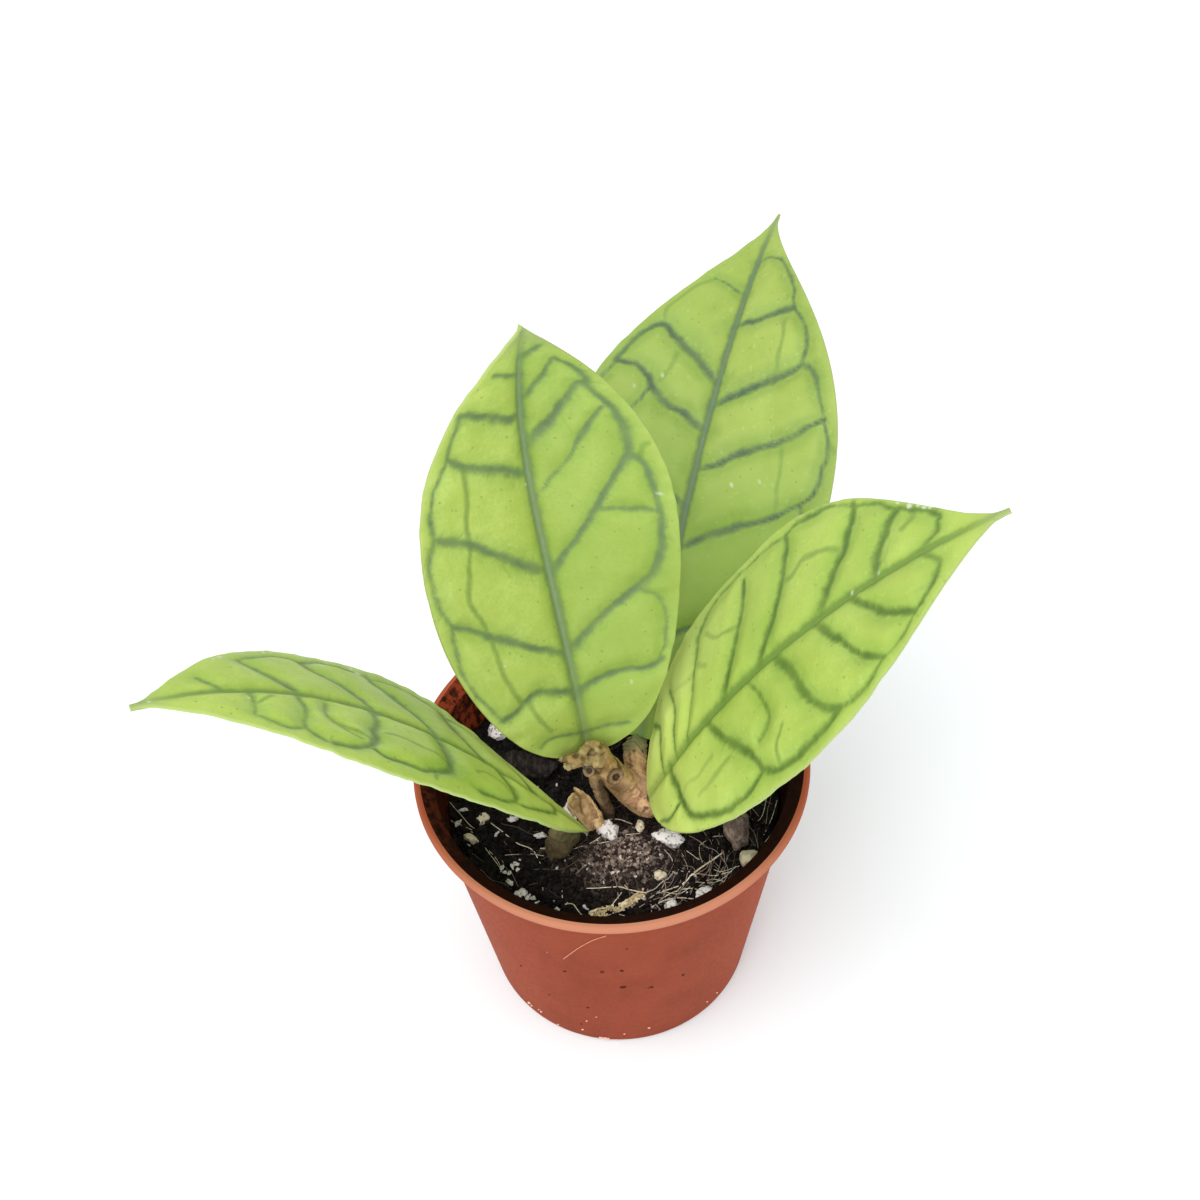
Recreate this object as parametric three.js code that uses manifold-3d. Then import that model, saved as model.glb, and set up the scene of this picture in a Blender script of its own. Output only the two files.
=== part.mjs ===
// A young hoya callistophylla with four leaves, in a small tapered nursery pot.
// Millimetres, +Z up, origin at the centre of the pot's underside. The viewer stands at -Y.

import * as THREE from 'three';
import { mergeVertices } from 'three/addons/utils/BufferGeometryUtils.js';
import Module from 'manifold-3d';

const wasm = await Module();
wasm.setup();

// Driving dimensions

const seatGap = 0.3; // clearance between pieces that touch on the real plant

const pot = {
  rimRadius: 35,
  height: 58.4,
  baseRadius: 26.2,
  bandHeight: 1.4,
  bandStep: 2.4, // how far the rim band stands out from the wall below it
  rimRound: 0.3,
  rimLand: 1.1, // width of the rim's top, outside the flare that leads down to the wall
  wall: 1.1,
  floor: 1.5,
  footRound: 0.8,
  innerFootRound: 1,
  drainHoles: 6,
  drainRadius: 2.5,
  drainCircle: 15,
  segments: 48,
};

const soil = {
  level: 47.3,
  mound: { at: [3, -17], spread: [11, 9], rise: 2.4 },
  hollow: { at: [-20, -4], spread: [11, 14], rise: -2.6 },
  clodRise: 0.45,
  crumbRise: 0.3,
  rings: 9,
  segments: 36,
};

// Each leaf leaves its petiole at `base`, pointing along `heading` round Z and `rise` above the horizon,
// rolled about its midrib. Along its length it bends towards its upper face by `bend`, sweeps sideways and
// twists, with `lateBend` and `lateSweep` more of those at the tip than halfway. Angles are in degrees.
// `point` and `shoulder` shape the half towards the tip, `baseRound` the half towards the base.
// A side's veins leave the midrib at the shares of its length in `from` and reach the margin at `to`.
const leaves = {
  leaf_a: {
    base: [-4.1, -1.6, 61.3], heading: 112.5, rise: 80.5, roll: 1,
    bend: 35.5, lateBend: 72.5, sweep: 4.5, lateSweep: -2.8, twist: 8.5,
    length: 86.8, width: 42.2, widestAt: 0.5, baseRound: 0.54, shoulder: 2.46, point: 0.99,
    left: {
      fold: 8.5, wave: 0.7, wavePhase: 0.3,
      from: [0.06, 0.155, 0.235, 0.43, 0.65, 0.78, 0.89],
      to: [0.07, 0.19, 0.415, 0.64, 0.78, 0.865, 0.93],
    },
    right: {
      fold: 27.5, wave: 0.7, wavePhase: 0.28,
      from: [0.06, 0.135, 0.24, 0.425, 0.59, 0.71, 0.835],
      to: [0.07, 0.19, 0.4, 0.7, 0.8, 0.855, 0.93],
    },
  },
  leaf_b: {
    base: [5.4, 5.2, 55.5], heading: 69, rise: 53.5, roll: -0.5,
    bend: -44, lateBend: -11, sweep: 2, lateSweep: -0.6, twist: -13.5,
    length: 106.2, width: 52.3, widestAt: 0.45, baseRound: 0.5, shoulder: 2.15, point: 1.64,
    left: {
      fold: 5.5, wave: 0.4, wavePhase: 0.07,
      from: [0.08, 0.17, 0.29, 0.41, 0.54, 0.63, 0.8],
      to: [0.1, 0.22, 0.36, 0.5, 0.64, 0.74, 0.83],
    },
    right: {
      fold: 9, wave: 0.4, wavePhase: 0.14,
      from: [0.07, 0.17, 0.34, 0.475, 0.585, 0.745, 0.865],
      to: [0.1, 0.25, 0.43, 0.565, 0.69, 0.78, 0.87],
    },
  },
  leaf_c: {
    base: [6.1, -8.1, 56], heading: -3.5, rise: 68.5, roll: 3,
    bend: -31.5, lateBend: -15, sweep: -4.5, lateSweep: -0.2, twist: -6,
    length: 85.8, width: 42.9, widestAt: 0.52, baseRound: 0.53, shoulder: 2.27, point: 1.66,
    left: {
      fold: 6, wave: 0.6, wavePhase: -0.07,
      from: [0.08, 0.2, 0.34, 0.45, 0.61, 0.745, 0.86],
      to: [0.085, 0.28, 0.44, 0.56, 0.725, 0.815, 0.885],
    },
    right: {
      fold: -5, wave: 0.3, wavePhase: 0.15,
      from: [0.05, 0.11, 0.28, 0.505, 0.615, 0.68, 0.85],
      to: [0.06, 0.16, 0.42, 0.62, 0.74, 0.81, 0.865],
    },
  },
  leaf_d: {
    base: [-4.5, -13.7, 54.8], heading: 169.5, rise: 47, roll: 43,
    bend: -44.5, lateBend: -49, sweep: 18, lateSweep: 2.5, twist: 4.5,
    length: 84.1, width: 41.1, widestAt: 0.55, baseRound: 0.94, shoulder: 2.18, point: 1.42,
    left: {
      fold: -7, wave: 0.2, wavePhase: -0.2,
      from: [0.04, 0.1, 0.27, 0.415, 0.55, 0.73, 0.81],
      to: [0.08, 0.19, 0.29, 0.46, 0.65, 0.74, 0.82],
    },
    right: {
      fold: 4, wave: 0.8, wavePhase: 0.64,
      from: [0.05, 0.16, 0.29, 0.41, 0.555, 0.71, 0.85],
      to: [0.08, 0.19, 0.34, 0.5, 0.65, 0.78, 0.86],
    },
  },
};

// What all blades share. Each column of a blade is a share of the half width, with the blade's thickness
// there and how much of the swelling between two veins it takes.
const blade = {
  steps: 80,
  waves: 1.7, // margin waves along the blade
  neckHalf: 1.3, // half width where the blade meets its petiole
  tipHalf: 0.5,
  veinReach: 0.85, // share of the half width where the veins meet the vein that follows the margin
  swelling: 0.7, // height of the leaf between two veins
  groove: 0.35, // depth of the midrib's furrow
  tipThinning: 0.5,
  leastThickness: 0.7,
  columns: [
    { at: 0, thickness: 2, swell: 0 },
    { at: 0.06, thickness: 1.5, swell: 0.1 },
    { at: 0.17, thickness: 1.2, swell: 0.7 },
    { at: 0.35, thickness: 1.05, swell: 1 },
    { at: 0.53, thickness: 0.95, swell: 1 },
    { at: 0.71, thickness: 0.9, swell: 0.8 },
    { at: 0.83, thickness: 0.85, swell: 0.15 },
    { at: 0.92, thickness: 0.8, swell: 0.35 },
    { at: 1, thickness: 0.7, swell: 0 },
  ],
  firstRows: [0, 0.08, 0.25, 0.55],
  innerRows: [0, 0.33, 0.67],
  lastRows: [0, 0.3, 0.6, 0.85],
};

// Stem and shoot: centre lines with a radius at each point, [x, y, z, radius]
const stemLimbs = {
  trunk: [
    [-3.7, -4.9, 66, 1.7], [-3, -4.8, 64, 2.7], [-1, -4.6, 60.1, 2.6], [1.3, -4.3, 55.7, 2.8],
    [4.1, -4.1, 51.5, 3.05], [6.9, -4, 48, 3.1], [9, -3.8, 43, 2.6], [10, -3.8, 37, 1.4],
  ],
  leg: [[-3, -4.8, 62, 1.4], [-2.2, -5.3, 54.6, 1.3], [-0.6, -5.9, 47, 1.3], [-0.4, -6, 40, 0.8]],
  raggedStub: [[-3.4, -4.8, 63, 1.3], [-6, -5.4, 63.5, 1.1], [-8.5, -6, 64.6, 1]],
  forkedTip: [[-6.6, -5.5, 63.6, 0.9], [-8.2, -5.9, 62.4, 0.8]],
  roundStub: [[-3.4, -4.6, 60.4, 1.1], [-4.4, -6.6, 62, 1]],
  scarStub: [[-0.6, -4.5, 59.6, 1.7], [0.3, -7.2, 61.4, 1.5]],
  bump: [[3.7, -4.6, 53.6, 1.3], [3.9, -6.8, 55.2, 0.9]],
};
const petiolePaths = {
  leaf_a: [[-2.4, -4, 59.4, 1.8], [-3.7, -2.5, 59.3, 1.6]],
  leaf_b: [[4.5, -3.2, 52.5, 2.1], [4.8, 0.6, 54, 1.8], [5.15, 3.8, 54.2, 1.6]],
  leaf_c: [[6.2, -4.4, 50.3, 2.2], [6.4, -7, 51.2, 2], [5.7, -8.05, 53.4, 1.7]],
};
const shootPath = [
  [-10.8, -11.8, 39, 1], [-10.6, -12, 46.5, 1.9], [-8.2, -13.2, 50.6, 1.8], [-4.9, -14.1, 51.9, 1.5],
  [-3.9, -13.95, 53.3, 1.4],
];
const petioleEnd = { radius: 1.35, straight: 0.8 };
const scar = { from: [0.1, -6.7, 61.1], to: [0.5, -7.9, 61.9], radius: 0.8 };

// The dried bract: a curled plate round a leaning axis, open towards the front left
const bract = {
  foot: [-6.3, -9.5],
  top: [-7.2, -8.4, 56.8],
  buried: 0.7,
  footRadius: 1.8,
  belly: 1, // how much wider it is at half its height
  ruffle: 0.08,
  curl: [-75, 115],
  thickness: 0.7,
  rows: 8,
  columns: 10,
};

// What lies on the soil: [x, y] on its surface, half sizes, turn about Z in degrees, colour group
const grains = {
  perlite_middle: { at: [-1.1, -10.4], half: [2, 1.8, 1.9], turn: 20, of: 'perlite' },
  perlite_flat: { at: [9.2, -12.6], half: [3.2, 1.8, 1.3], turn: -8, of: 'perlite' },
  perlite_chip: { at: [-7.6, -4.3], half: [2, 2.1, 1], turn: 15, of: 'perlite' },
  perlite_far: { at: [-21, 15], half: [2.2, 2, 1.8], turn: 40, of: 'perlite' },
  perlite_right: { at: [14.6, -23.4], half: [1.7, 1.3, 1.2], turn: 30, of: 'perlite' },
  perlite_front: { at: [8.8, -26], half: [1.4, 1.2, 1.1], turn: 70, of: 'perlite' },
  perlite_left: { at: [-17, -20.8], half: [1.5, 1, 0.9], turn: 50, of: 'perlite' },
  shard_cream: { at: [4.4, -9.6], half: [0.8, 1.2, 1], turn: 10, of: 'grit' },
  grit_middle: { at: [7.2, -20], half: [1.1, 1, 0.9], turn: 35, of: 'grit' },
  grit_left: { at: [-24, -3.6], half: [1.3, 1, 0.9], turn: 60, of: 'grit' },
  grit_edge: { at: [-26, -8], half: [1.4, 0.9, 0.8], turn: -25, of: 'grit' },
  pebble: { at: [22.4, -16.4], half: [1.7, 1.9, 1.6], turn: 15, of: 'grit' },
  bark_chip: { at: [21.4, -10.6], half: [2.2, 3.3, 1.8], turn: -12, of: 'bark' },
  bark_slab: { at: [-14.6, 6.6], half: [5.4, 2.7, 1.5], turn: -28, of: 'bark' },
};
const grainRise = 0.45; // share of its half height that a grain's middle stands above the soil
const grainRoughness = 0.12;

// Roots that lie over the soil: [x, y] along each, and its radius
const roots = {
  root_front: { along: [[-5.4, -21.4], [0, -22.6], [6, -22.9], [12, -21.4], [18.4, -15.6]], radius: 0.45 },
  root_frayed: { along: [[3.4, -24.9], [0.2, -25.8], [-4.2, -26.2]], radius: 0.6 },
  root_left: { along: [[-21.4, -5.2], [-18.2, -8.6], [-15, -11.2], [-13.4, -14.4]], radius: 0.4 },
};

const finishes = {
  plastic: { color: 0xb5563a, roughness: 0.55, metalness: 0 },
  peat: { color: 0x2a2220, roughness: 0.95, metalness: 0 },
  bark: { color: 0x6d5a4a, roughness: 0.9, metalness: 0 },
  stem: { color: 0xa8845c, roughness: 0.8, metalness: 0 },
  shoot: { color: 0x7a6a3c, roughness: 0.8, metalness: 0 },
  leaf: { color: 0xa9cc5e, roughness: 0.5, metalness: 0 },
  husk: { color: 0xb08a5a, roughness: 0.8, metalness: 0 },
  perlite: { color: 0xe8e2dc, roughness: 0.9, metalness: 0 },
  grit: { color: 0xd6c7a2, roughness: 0.8, metalness: 0 },
  root: { color: 0xc9b183, roughness: 0.8, metalness: 0 },
};

// Small helpers

const plant = new THREE.Group();
const { lerp, degToRad, clamp } = THREE.MathUtils;

function addPiece(name, geometry, finish) {
  const mesh = new THREE.Mesh(geometry, new THREE.MeshStandardMaterial(finishes[finish]));
  mesh.name = name;
  plant.add(mesh);
}

function surfaceFrom(points, faces) {
  const geometry = new THREE.BufferGeometry();
  const flat = points.flatMap((p) => [p.x, p.y, p.z]);
  geometry.setAttribute('position', new THREE.Float32BufferAttribute(flat, 3));
  geometry.setIndex(faces.flat());
  return geometry;
}

function solidOf(geometry) {
  const bare = geometry.clone();
  bare.deleteAttribute('normal');
  bare.deleteAttribute('uv');
  const merged = mergeVertices(bare, 1e-4);
  const vertProperties = Float32Array.from(merged.attributes.position.array);
  const triVerts = Uint32Array.from(merged.index.array);
  return new wasm.Manifold(new wasm.Mesh({ numProp: 3, vertProperties, triVerts }));
}

function geometryOf(solid) {
  const mesh = solid.getMesh();
  const geometry = new THREE.BufferGeometry();
  geometry.setAttribute('position', new THREE.BufferAttribute(mesh.vertProperties, 3));
  geometry.setIndex(new THREE.BufferAttribute(mesh.triVerts, 1));
  return geometry;
}

function joined(solids) {
  return solids.reduce((whole, next) => whole.add(next));
}

// A closed plate between two grids of points, both split into triangles the same way
function plateBetween(upper, lower) {
  const rows = upper.length;
  const columns = upper[0].length;
  const faces = [];
  const top = (i, j) => i * columns + j;
  const under = (i, j) => rows * columns + i * columns + j;
  const quad = (a, b, c, d) => faces.push([a, b, c], [a, c, d]);
  for (let i = 0; i < rows - 1; i++) {
    for (let j = 0; j < columns - 1; j++) {
      faces.push([top(i, j), top(i + 1, j), top(i + 1, j + 1)]);
      faces.push([top(i, j), top(i + 1, j + 1), top(i, j + 1)]);
      faces.push([under(i, j), under(i + 1, j + 1), under(i + 1, j)]);
      faces.push([under(i, j), under(i, j + 1), under(i + 1, j + 1)]);
    }
    quad(top(i, 0), under(i, 0), under(i + 1, 0), top(i + 1, 0));
    const j = columns - 1;
    quad(top(i, j), top(i + 1, j), under(i + 1, j), under(i, j));
  }
  for (let j = 0; j < columns - 1; j++) {
    quad(top(0, j), top(0, j + 1), under(0, j + 1), under(0, j));
    const i = rows - 1;
    quad(top(i, j), under(i, j), under(i, j + 1), top(i, j + 1));
  }
  return surfaceFrom([...upper.flat(), ...lower.flat()], faces);
}

// A round limb along a smooth line through [x, y, z, radius] points, with flat ends. `extra` makes it
// larger all round, its ends too.
function limb(line, { sides = 9, steps = 3, lumps = 0, extra = 0 } = {}) {
  const knots = line.map(([x, y, z]) => new THREE.Vector3(x, y, z));
  const lengthen = (end, next) => end.addScaledVector(end.clone().sub(next).normalize(), extra);
  lengthen(knots[0], knots[1]);
  lengthen(knots[knots.length - 1], knots[knots.length - 2]);
  const curve = new THREE.CatmullRomCurve3(knots);
  const count = steps * (line.length - 1);
  const points = [];
  const faces = [];
  const outward = new THREE.Vector3(1, 0.3, 0.2);
  for (let i = 0; i <= count; i++) {
    const along = (i / count) * (line.length - 1);
    const knot = Math.min(Math.floor(along), line.length - 2);
    const radius = lerp(line[knot][3], line[knot + 1][3], along - knot) + extra;
    const centre = curve.getPoint(i / count);
    const tangent = curve.getTangent(i / count);
    outward.addScaledVector(tangent, -outward.dot(tangent)).normalize();
    const across = tangent.clone().cross(outward);
    for (let k = 0; k < sides; k++) {
      const turn = (2 * Math.PI * k) / sides;
      const swell = 1 + lumps * Math.sin(3 * turn + 1.7 * i) * Math.cos(1.1 * i + turn);
      points.push(
        centre.clone()
          .addScaledVector(outward, radius * swell * Math.cos(turn))
          .addScaledVector(across, radius * swell * Math.sin(turn)),
      );
    }
  }
  for (let i = 0; i < count; i++) {
    for (let k = 0; k < sides; k++) {
      const next = (k + 1) % sides;
      const [a, b] = [i * sides + k, i * sides + next];
      faces.push([a, b, b + sides], [a, b + sides, a + sides]);
    }
  }
  const [first, last] = [points.length, points.length + 1];
  points.push(curve.getPoint(0), curve.getPoint(1));
  for (let k = 0; k < sides; k++) {
    const next = (k + 1) % sides;
    faces.push([first, next, k], [last, count * sides + k, count * sides + next]);
  }
  return solidOf(surfaceFrom(points, faces));
}

// Pot: a turned wall with a rim band, flared inside at the top, and drain holes round the floor

function wallRadius(z) {
  const shoulder = pot.height - pot.bandHeight;
  return lerp(pot.baseRadius, pot.rimRadius - pot.bandStep, z / shoulder);
}

function makePot() {
  const { rimRadius, height, bandHeight, rimRound, baseRadius, footRound, innerFootRound } = pot;
  const { rimLand, wall, floor } = pot;
  const shoulder = height - bandHeight;
  const profile = [
    [0, 0],
    [baseRadius - footRound, 0],
    [wallRadius(footRound), footRound],
    [wallRadius(shoulder), shoulder],
    [rimRadius - rimRound, shoulder],
    [rimRadius, shoulder + rimRound],
    [rimRadius, height - 2 * rimRound],
    [rimRadius - rimRound, height - rimRound / 2],
    [rimRadius - 2 * rimRound, height],
    [rimRadius - rimLand, height],
    [wallRadius(shoulder) - wall, shoulder - rimRound],
    [wallRadius(floor) - wall, floor + innerFootRound],
    [wallRadius(floor) - wall - innerFootRound, floor],
    [0, floor],
  ].map(([r, z]) => new THREE.Vector2(r, z));
  const shell = new THREE.LatheGeometry(profile, pot.segments).rotateX(Math.PI / 2);
  let solid = solidOf(shell);
  for (let k = 0; k < pot.drainHoles; k++) {
    const turn = (2 * Math.PI * k) / pot.drainHoles;
    const hole = new THREE.CylinderGeometry(pot.drainRadius, pot.drainRadius, 4 * floor, 16);
    hole.rotateX(Math.PI / 2);
    hole.translate(pot.drainCircle * Math.cos(turn), pot.drainCircle * Math.sin(turn), 0);
    solid = solid.subtract(solidOf(hole));
  }
  addPiece('pot', geometryOf(solid), 'plastic');
}

// Soil: its height at any place, and the plug that fills the pot up to it

function swellAt(x, y, { at, spread, rise }) {
  return rise * Math.exp(-(((x - at[0]) / spread[0]) ** 2) - ((y - at[1]) / spread[1]) ** 2);
}

function soilTop(x, y) {
  const clods = soil.clodRise * Math.sin(0.55 * x + 1.3) * Math.cos(0.62 * y - 0.4);
  const crumbs = soil.crumbRise * Math.sin(1.1 * x - 0.8 * y + 2);
  return soil.level + swellAt(x, y, soil.mound) + swellAt(x, y, soil.hollow) + clods + crumbs;
}

function makeSoil(buried) {
  const { rings, segments } = soil;
  const bottom = pot.floor + seatGap;
  const inside = (z) => wallRadius(z) - pot.wall - seatGap;
  const points = [new THREE.Vector3(0, 0, soilTop(0, 0)), new THREE.Vector3(0, 0, bottom)];
  const faces = [];
  const centres = 2;
  for (let i = 1; i <= rings + 1; i++) {
    for (let k = 0; k < segments; k++) {
      const turn = (2 * Math.PI * k) / segments;
      const [c, s] = [Math.cos(turn), Math.sin(turn)];
      if (i <= rings) {
        let r = (inside(soil.level) * i) / rings;
        if (i === rings) r = inside(soilTop(r * c, r * s));
        points.push(new THREE.Vector3(r * c, r * s, soilTop(r * c, r * s)));
      } else {
        const r = inside(bottom) - pot.innerFootRound;
        points.push(new THREE.Vector3(r * c, r * s, bottom));
      }
    }
  }
  const at = (i, k) => centres + (i - 1) * segments + (k % segments);
  for (let k = 0; k < segments; k++) {
    faces.push([0, at(1, k), at(1, k + 1)]);
    for (let i = 1; i <= rings; i++) {
      faces.push([at(i, k), at(i + 1, k), at(i + 1, k + 1)], [at(i, k), at(i + 1, k + 1), at(i, k + 1)]);
    }
    faces.push([1, at(rings + 1, k + 1), at(rings + 1, k)]);
  }
  const plug = solidOf(surfaceFrom(points, faces));
  addPiece('soil', geometryOf(plug.subtract(joined(buried))), 'peat');
}

// Leaves

function frameOf(leaf) {
  const [heading, rise, roll] = [leaf.heading, leaf.rise, leaf.roll].map(degToRad);
  const level = new THREE.Vector3(-Math.sin(heading), Math.cos(heading), 0);
  const forward = new THREE.Vector3(Math.cos(heading), Math.sin(heading), 0)
    .multiplyScalar(Math.cos(rise)).setZ(Math.sin(rise));
  const across = level.applyAxisAngle(forward, roll);
  return { forward, across };
}

// The midrib as a list of stations, each turned a little from the last by the bend, sweep and twist
function midribOf(leaf) {
  let { forward, across } = frameOf(leaf);
  let centre = new THREE.Vector3(...leaf.base);
  const stations = [];
  const share = 1 / blade.steps;
  for (let i = 0; i <= blade.steps; i++) {
    const normal = forward.clone().cross(across);
    stations.push({ centre, forward, across, normal });
    const lateness = 2 * (i + 0.5) * share - 1;
    const bend = degToRad(leaf.bend + leaf.lateBend * lateness) * share;
    const sweep = degToRad(leaf.sweep + leaf.lateSweep * lateness) * share;
    const twist = degToRad(leaf.twist) * share;
    const turned = forward.clone().addScaledVector(normal, bend).addScaledVector(across, sweep).normalize();
    const tipped = across.clone().addScaledVector(forward, -sweep).addScaledVector(normal, twist);
    tipped.addScaledVector(turned, -tipped.dot(turned)).normalize();
    const step = forward.clone().add(turned).multiplyScalar((leaf.length * share) / 2);
    centre = centre.clone().add(step);
    forward = turned;
    across = tipped;
  }
  return stations;
}

function stationAt(stations, along) {
  const place = clamp(along, 0, 1) * blade.steps;
  const low = Math.min(Math.floor(place), blade.steps - 1);
  const mix = (key) => stations[low][key].clone().lerp(stations[low + 1][key], place - low);
  return { centre: mix('centre'), across: mix('across').normalize(), normal: mix('normal').normalize() };
}

// Half width as a share of the widest: an ellipse to the widest place, then a curve drawn out to the tip
function outlineShare(leaf, along) {
  const { widestAt, baseRound, shoulder, point } = leaf;
  if (along < widestAt) return (1 - ((widestAt - along) / widestAt) ** 2) ** baseRound;
  return (1 - Math.min(1, (along - widestAt) / (1 - widestAt)) ** shoulder) ** point;
}

// Rows follow the veins: one row on every vein and the rest spread between two veins
function rowsOf() {
  const rows = [];
  const gaps = leaves.leaf_a.left.from.length + 1;
  for (let gap = 0; gap < gaps; gap++) {
    const inner = gap === gaps - 1 ? blade.lastRows : blade.innerRows;
    const shares = gap === 0 ? blade.firstRows : inner;
    shares.forEach((share) => rows.push({ gap, share }));
  }
  rows.push({ gap: gaps - 1, share: 1 });
  return rows;
}

function rowStart(side, { gap, share }) {
  const knots = [0, ...side.from, 1];
  return lerp(knots[gap], knots[gap + 1], share);
}

function rowEnd(side, { gap, share }) {
  const knots = [0, ...side.to, 1];
  return lerp(knots[gap], knots[gap + 1], share);
}

function bladePoints(leaf, stations, row, column, side, hand) {
  const shared = (rowStart(leaf.left, row) + rowStart(leaf.right, row)) / 2;
  const own = lerp(rowStart(side, row), rowEnd(side, row), Math.min(1, column.at / blade.veinReach));
  const along = column.at === 0 ? shared : own;
  const share = outlineShare(leaf, along);
  const { centre, across, normal } = stationAt(stations, along);
  const reach = Math.hypot((leaf.width / 2) * share, lerp(blade.neckHalf, blade.tipHalf, along)) * column.at;
  const fold = degToRad(side.fold);
  const phase = 2 * Math.PI * (blade.waves * along + side.wavePhase);
  const wave = side.wave * column.at ** 2 * share * Math.sin(phase);
  const fullness = Math.min(1, 1.5 * share);
  const swelling = blade.swelling * column.swell * Math.sin(Math.PI * row.share) * fullness;
  const furrow = column.at === 0 ? blade.groove * fullness : 0;
  const height = reach * Math.sin(fold) + wave + swelling - furrow;
  const upper = centre.clone()
    .addScaledVector(across, hand * reach * Math.cos(fold))
    .addScaledVector(normal, height);
  const thinned = column.thickness * (1 - blade.tipThinning * along ** 3);
  const thickness = Math.max(blade.leastThickness, thinned);
  return [upper, upper.clone().addScaledVector(normal, -thickness)];
}

function makeLeaf(name, leaf) {
  const stations = midribOf(leaf);
  const upper = [];
  const lower = [];
  const columns = [
    ...blade.columns.slice(1).reverse().map((column) => ({ column, side: leaf.right, hand: -1 })),
    ...blade.columns.map((column) => ({ column, side: leaf.left, hand: 1 })),
  ];
  rowsOf().forEach((row) => {
    const pairs = columns
      .map(({ column, side, hand }) => bladePoints(leaf, stations, row, column, side, hand));
    upper.push(pairs.map((pair) => pair[0]));
    lower.push(pairs.map((pair) => pair[1]));
  });
  addPiece(name, plateBetween(upper, lower), 'leaf');
}

// Stem with its petioles, and the shoot of leaf D

// A petiole ends square to its leaf, a seat's gap short of the blade and behind the middle of its thickness
function petioleTo(leaf, line) {
  const { forward, across } = frameOf(leaf);
  const normal = forward.clone().cross(across);
  const middle = new THREE.Vector3(...leaf.base).addScaledVector(normal, -blade.columns[0].thickness / 2);
  const end = middle.clone().addScaledVector(forward, -seatGap);
  const approach = end.clone().addScaledVector(forward, -petioleEnd.straight);
  return [...line, [...approach.toArray(), petioleEnd.radius], [...end.toArray(), petioleEnd.radius]];
}

function stemSolid(extra) {
  const rough = { lumps: 0.07, extra };
  const smooth = { sides: 8, steps: 2, extra };
  const { trunk, leg, raggedStub, forkedTip, roundStub, scarStub, bump } = stemLimbs;
  const twigs = [leg, raggedStub, forkedTip, roundStub, scarStub, bump].map((line) => limb(line, smooth));
  const petioles = Object.entries(petiolePaths)
    .map(([name, line]) => limb(petioleTo(leaves[name], line), smooth));
  const pit = limb([[...scar.from, scar.radius], [...scar.to, scar.radius]], { sides: 8, steps: 1 });
  return joined([limb(trunk, rough), ...twigs, ...petioles]).subtract(pit);
}

function shootSolid(extra) {
  return limb(petioleTo(leaves.leaf_d, shootPath), { sides: 8, steps: 3, lumps: 0.04, extra });
}

// The dried bract beside the stem

function bractSolid(extra) {
  const { foot, top, buried, footRadius, ruffle, curl, thickness, rows, columns } = bract;
  const low = new THREE.Vector3(...foot, soilTop(...foot) - buried - extra);
  const high = new THREE.Vector3(...top);
  const outer = [];
  const inner = [];
  for (let i = 0; i < rows; i++) {
    const up = i / (rows - 1);
    const belly = footRadius + bract.belly * Math.sin(Math.PI * up);
    const middle = low.clone().lerp(high, up);
    const [start, end] = [degToRad(curl[0]) - extra / belly, degToRad(curl[1]) + extra / belly];
    const ring = (r) => Array.from({ length: columns }, (_, j) => {
      const turn = lerp(start, end, j / (columns - 1));
      const reach = r * (1 + ruffle * Math.sin(3 * turn + 5 * up));
      const lift = 0.5 * Math.sin(2 * turn) * up;
      return middle.clone().add(new THREE.Vector3(reach * Math.cos(turn), reach * Math.sin(turn), lift));
    });
    outer.push(ring(belly + thickness / 2 + extra));
    inner.push(ring(belly - thickness / 2 - extra));
  }
  return solidOf(plateBetween(inner, outer));
}

// Grains and roots on the soil

function grainSolid({ at, half, turn }, extra) {
  const stone = new THREE.IcosahedronGeometry(1, 1);
  const place = stone.attributes.position;
  for (let i = 0; i < place.count; i++) {
    const [x, y, z] = [place.getX(i), place.getY(i), place.getZ(i)];
    const swell = Math.sin(4 * x + turn) * Math.cos(3 * y) + Math.sin(5 * z + 2 * turn + x);
    const [hx, hy, hz] = half.map((size) => size * (1 + grainRoughness * swell) + extra);
    place.setXYZ(i, x * hx, y * hy, z * hz);
  }
  stone.rotateZ(degToRad(turn));
  stone.translate(at[0], at[1], soilTop(...at) + grainRise * half[2]);
  return solidOf(stone);
}

function rootSolid({ along, radius }, extra) {
  const line = along.map(([x, y]) => [x, y, soilTop(x, y) + 0.6 * radius, radius]);
  return limb(line, { sides: 6, steps: 3, extra });
}

// Assembly

makePot();
addPiece('stem', geometryOf(stemSolid(0)), 'stem');
addPiece('side_shoot', geometryOf(shootSolid(0)), 'shoot');
addPiece('dry_bract', geometryOf(bractSolid(0)), 'husk');
Object.entries(leaves).forEach(([name, leaf]) => makeLeaf(name, leaf));
Object.entries(grains).forEach(([name, grain]) => addPiece(name, geometryOf(grainSolid(grain, 0)), grain.of));
Object.entries(roots).forEach(([name, root]) => addPiece(name, geometryOf(rootSolid(root, 0)), 'root'));

const beds = Object.values(grains).map((grain) => grainSolid(grain, seatGap));
const furrows = Object.values(roots).map((root) => rootSolid(root, seatGap));
makeSoil([stemSolid(seatGap), shootSolid(seatGap), bractSolid(seatGap), ...beds, ...furrows]);

export default plant;
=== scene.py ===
# Looks for a young hoya callistophylla in a small nursery pot.
# Every shape is worked out in millimetres, +Z up, and goes into its mesh in metres.

import math

import bpy
import numpy as np
from mathutils import Matrix, Vector


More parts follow.
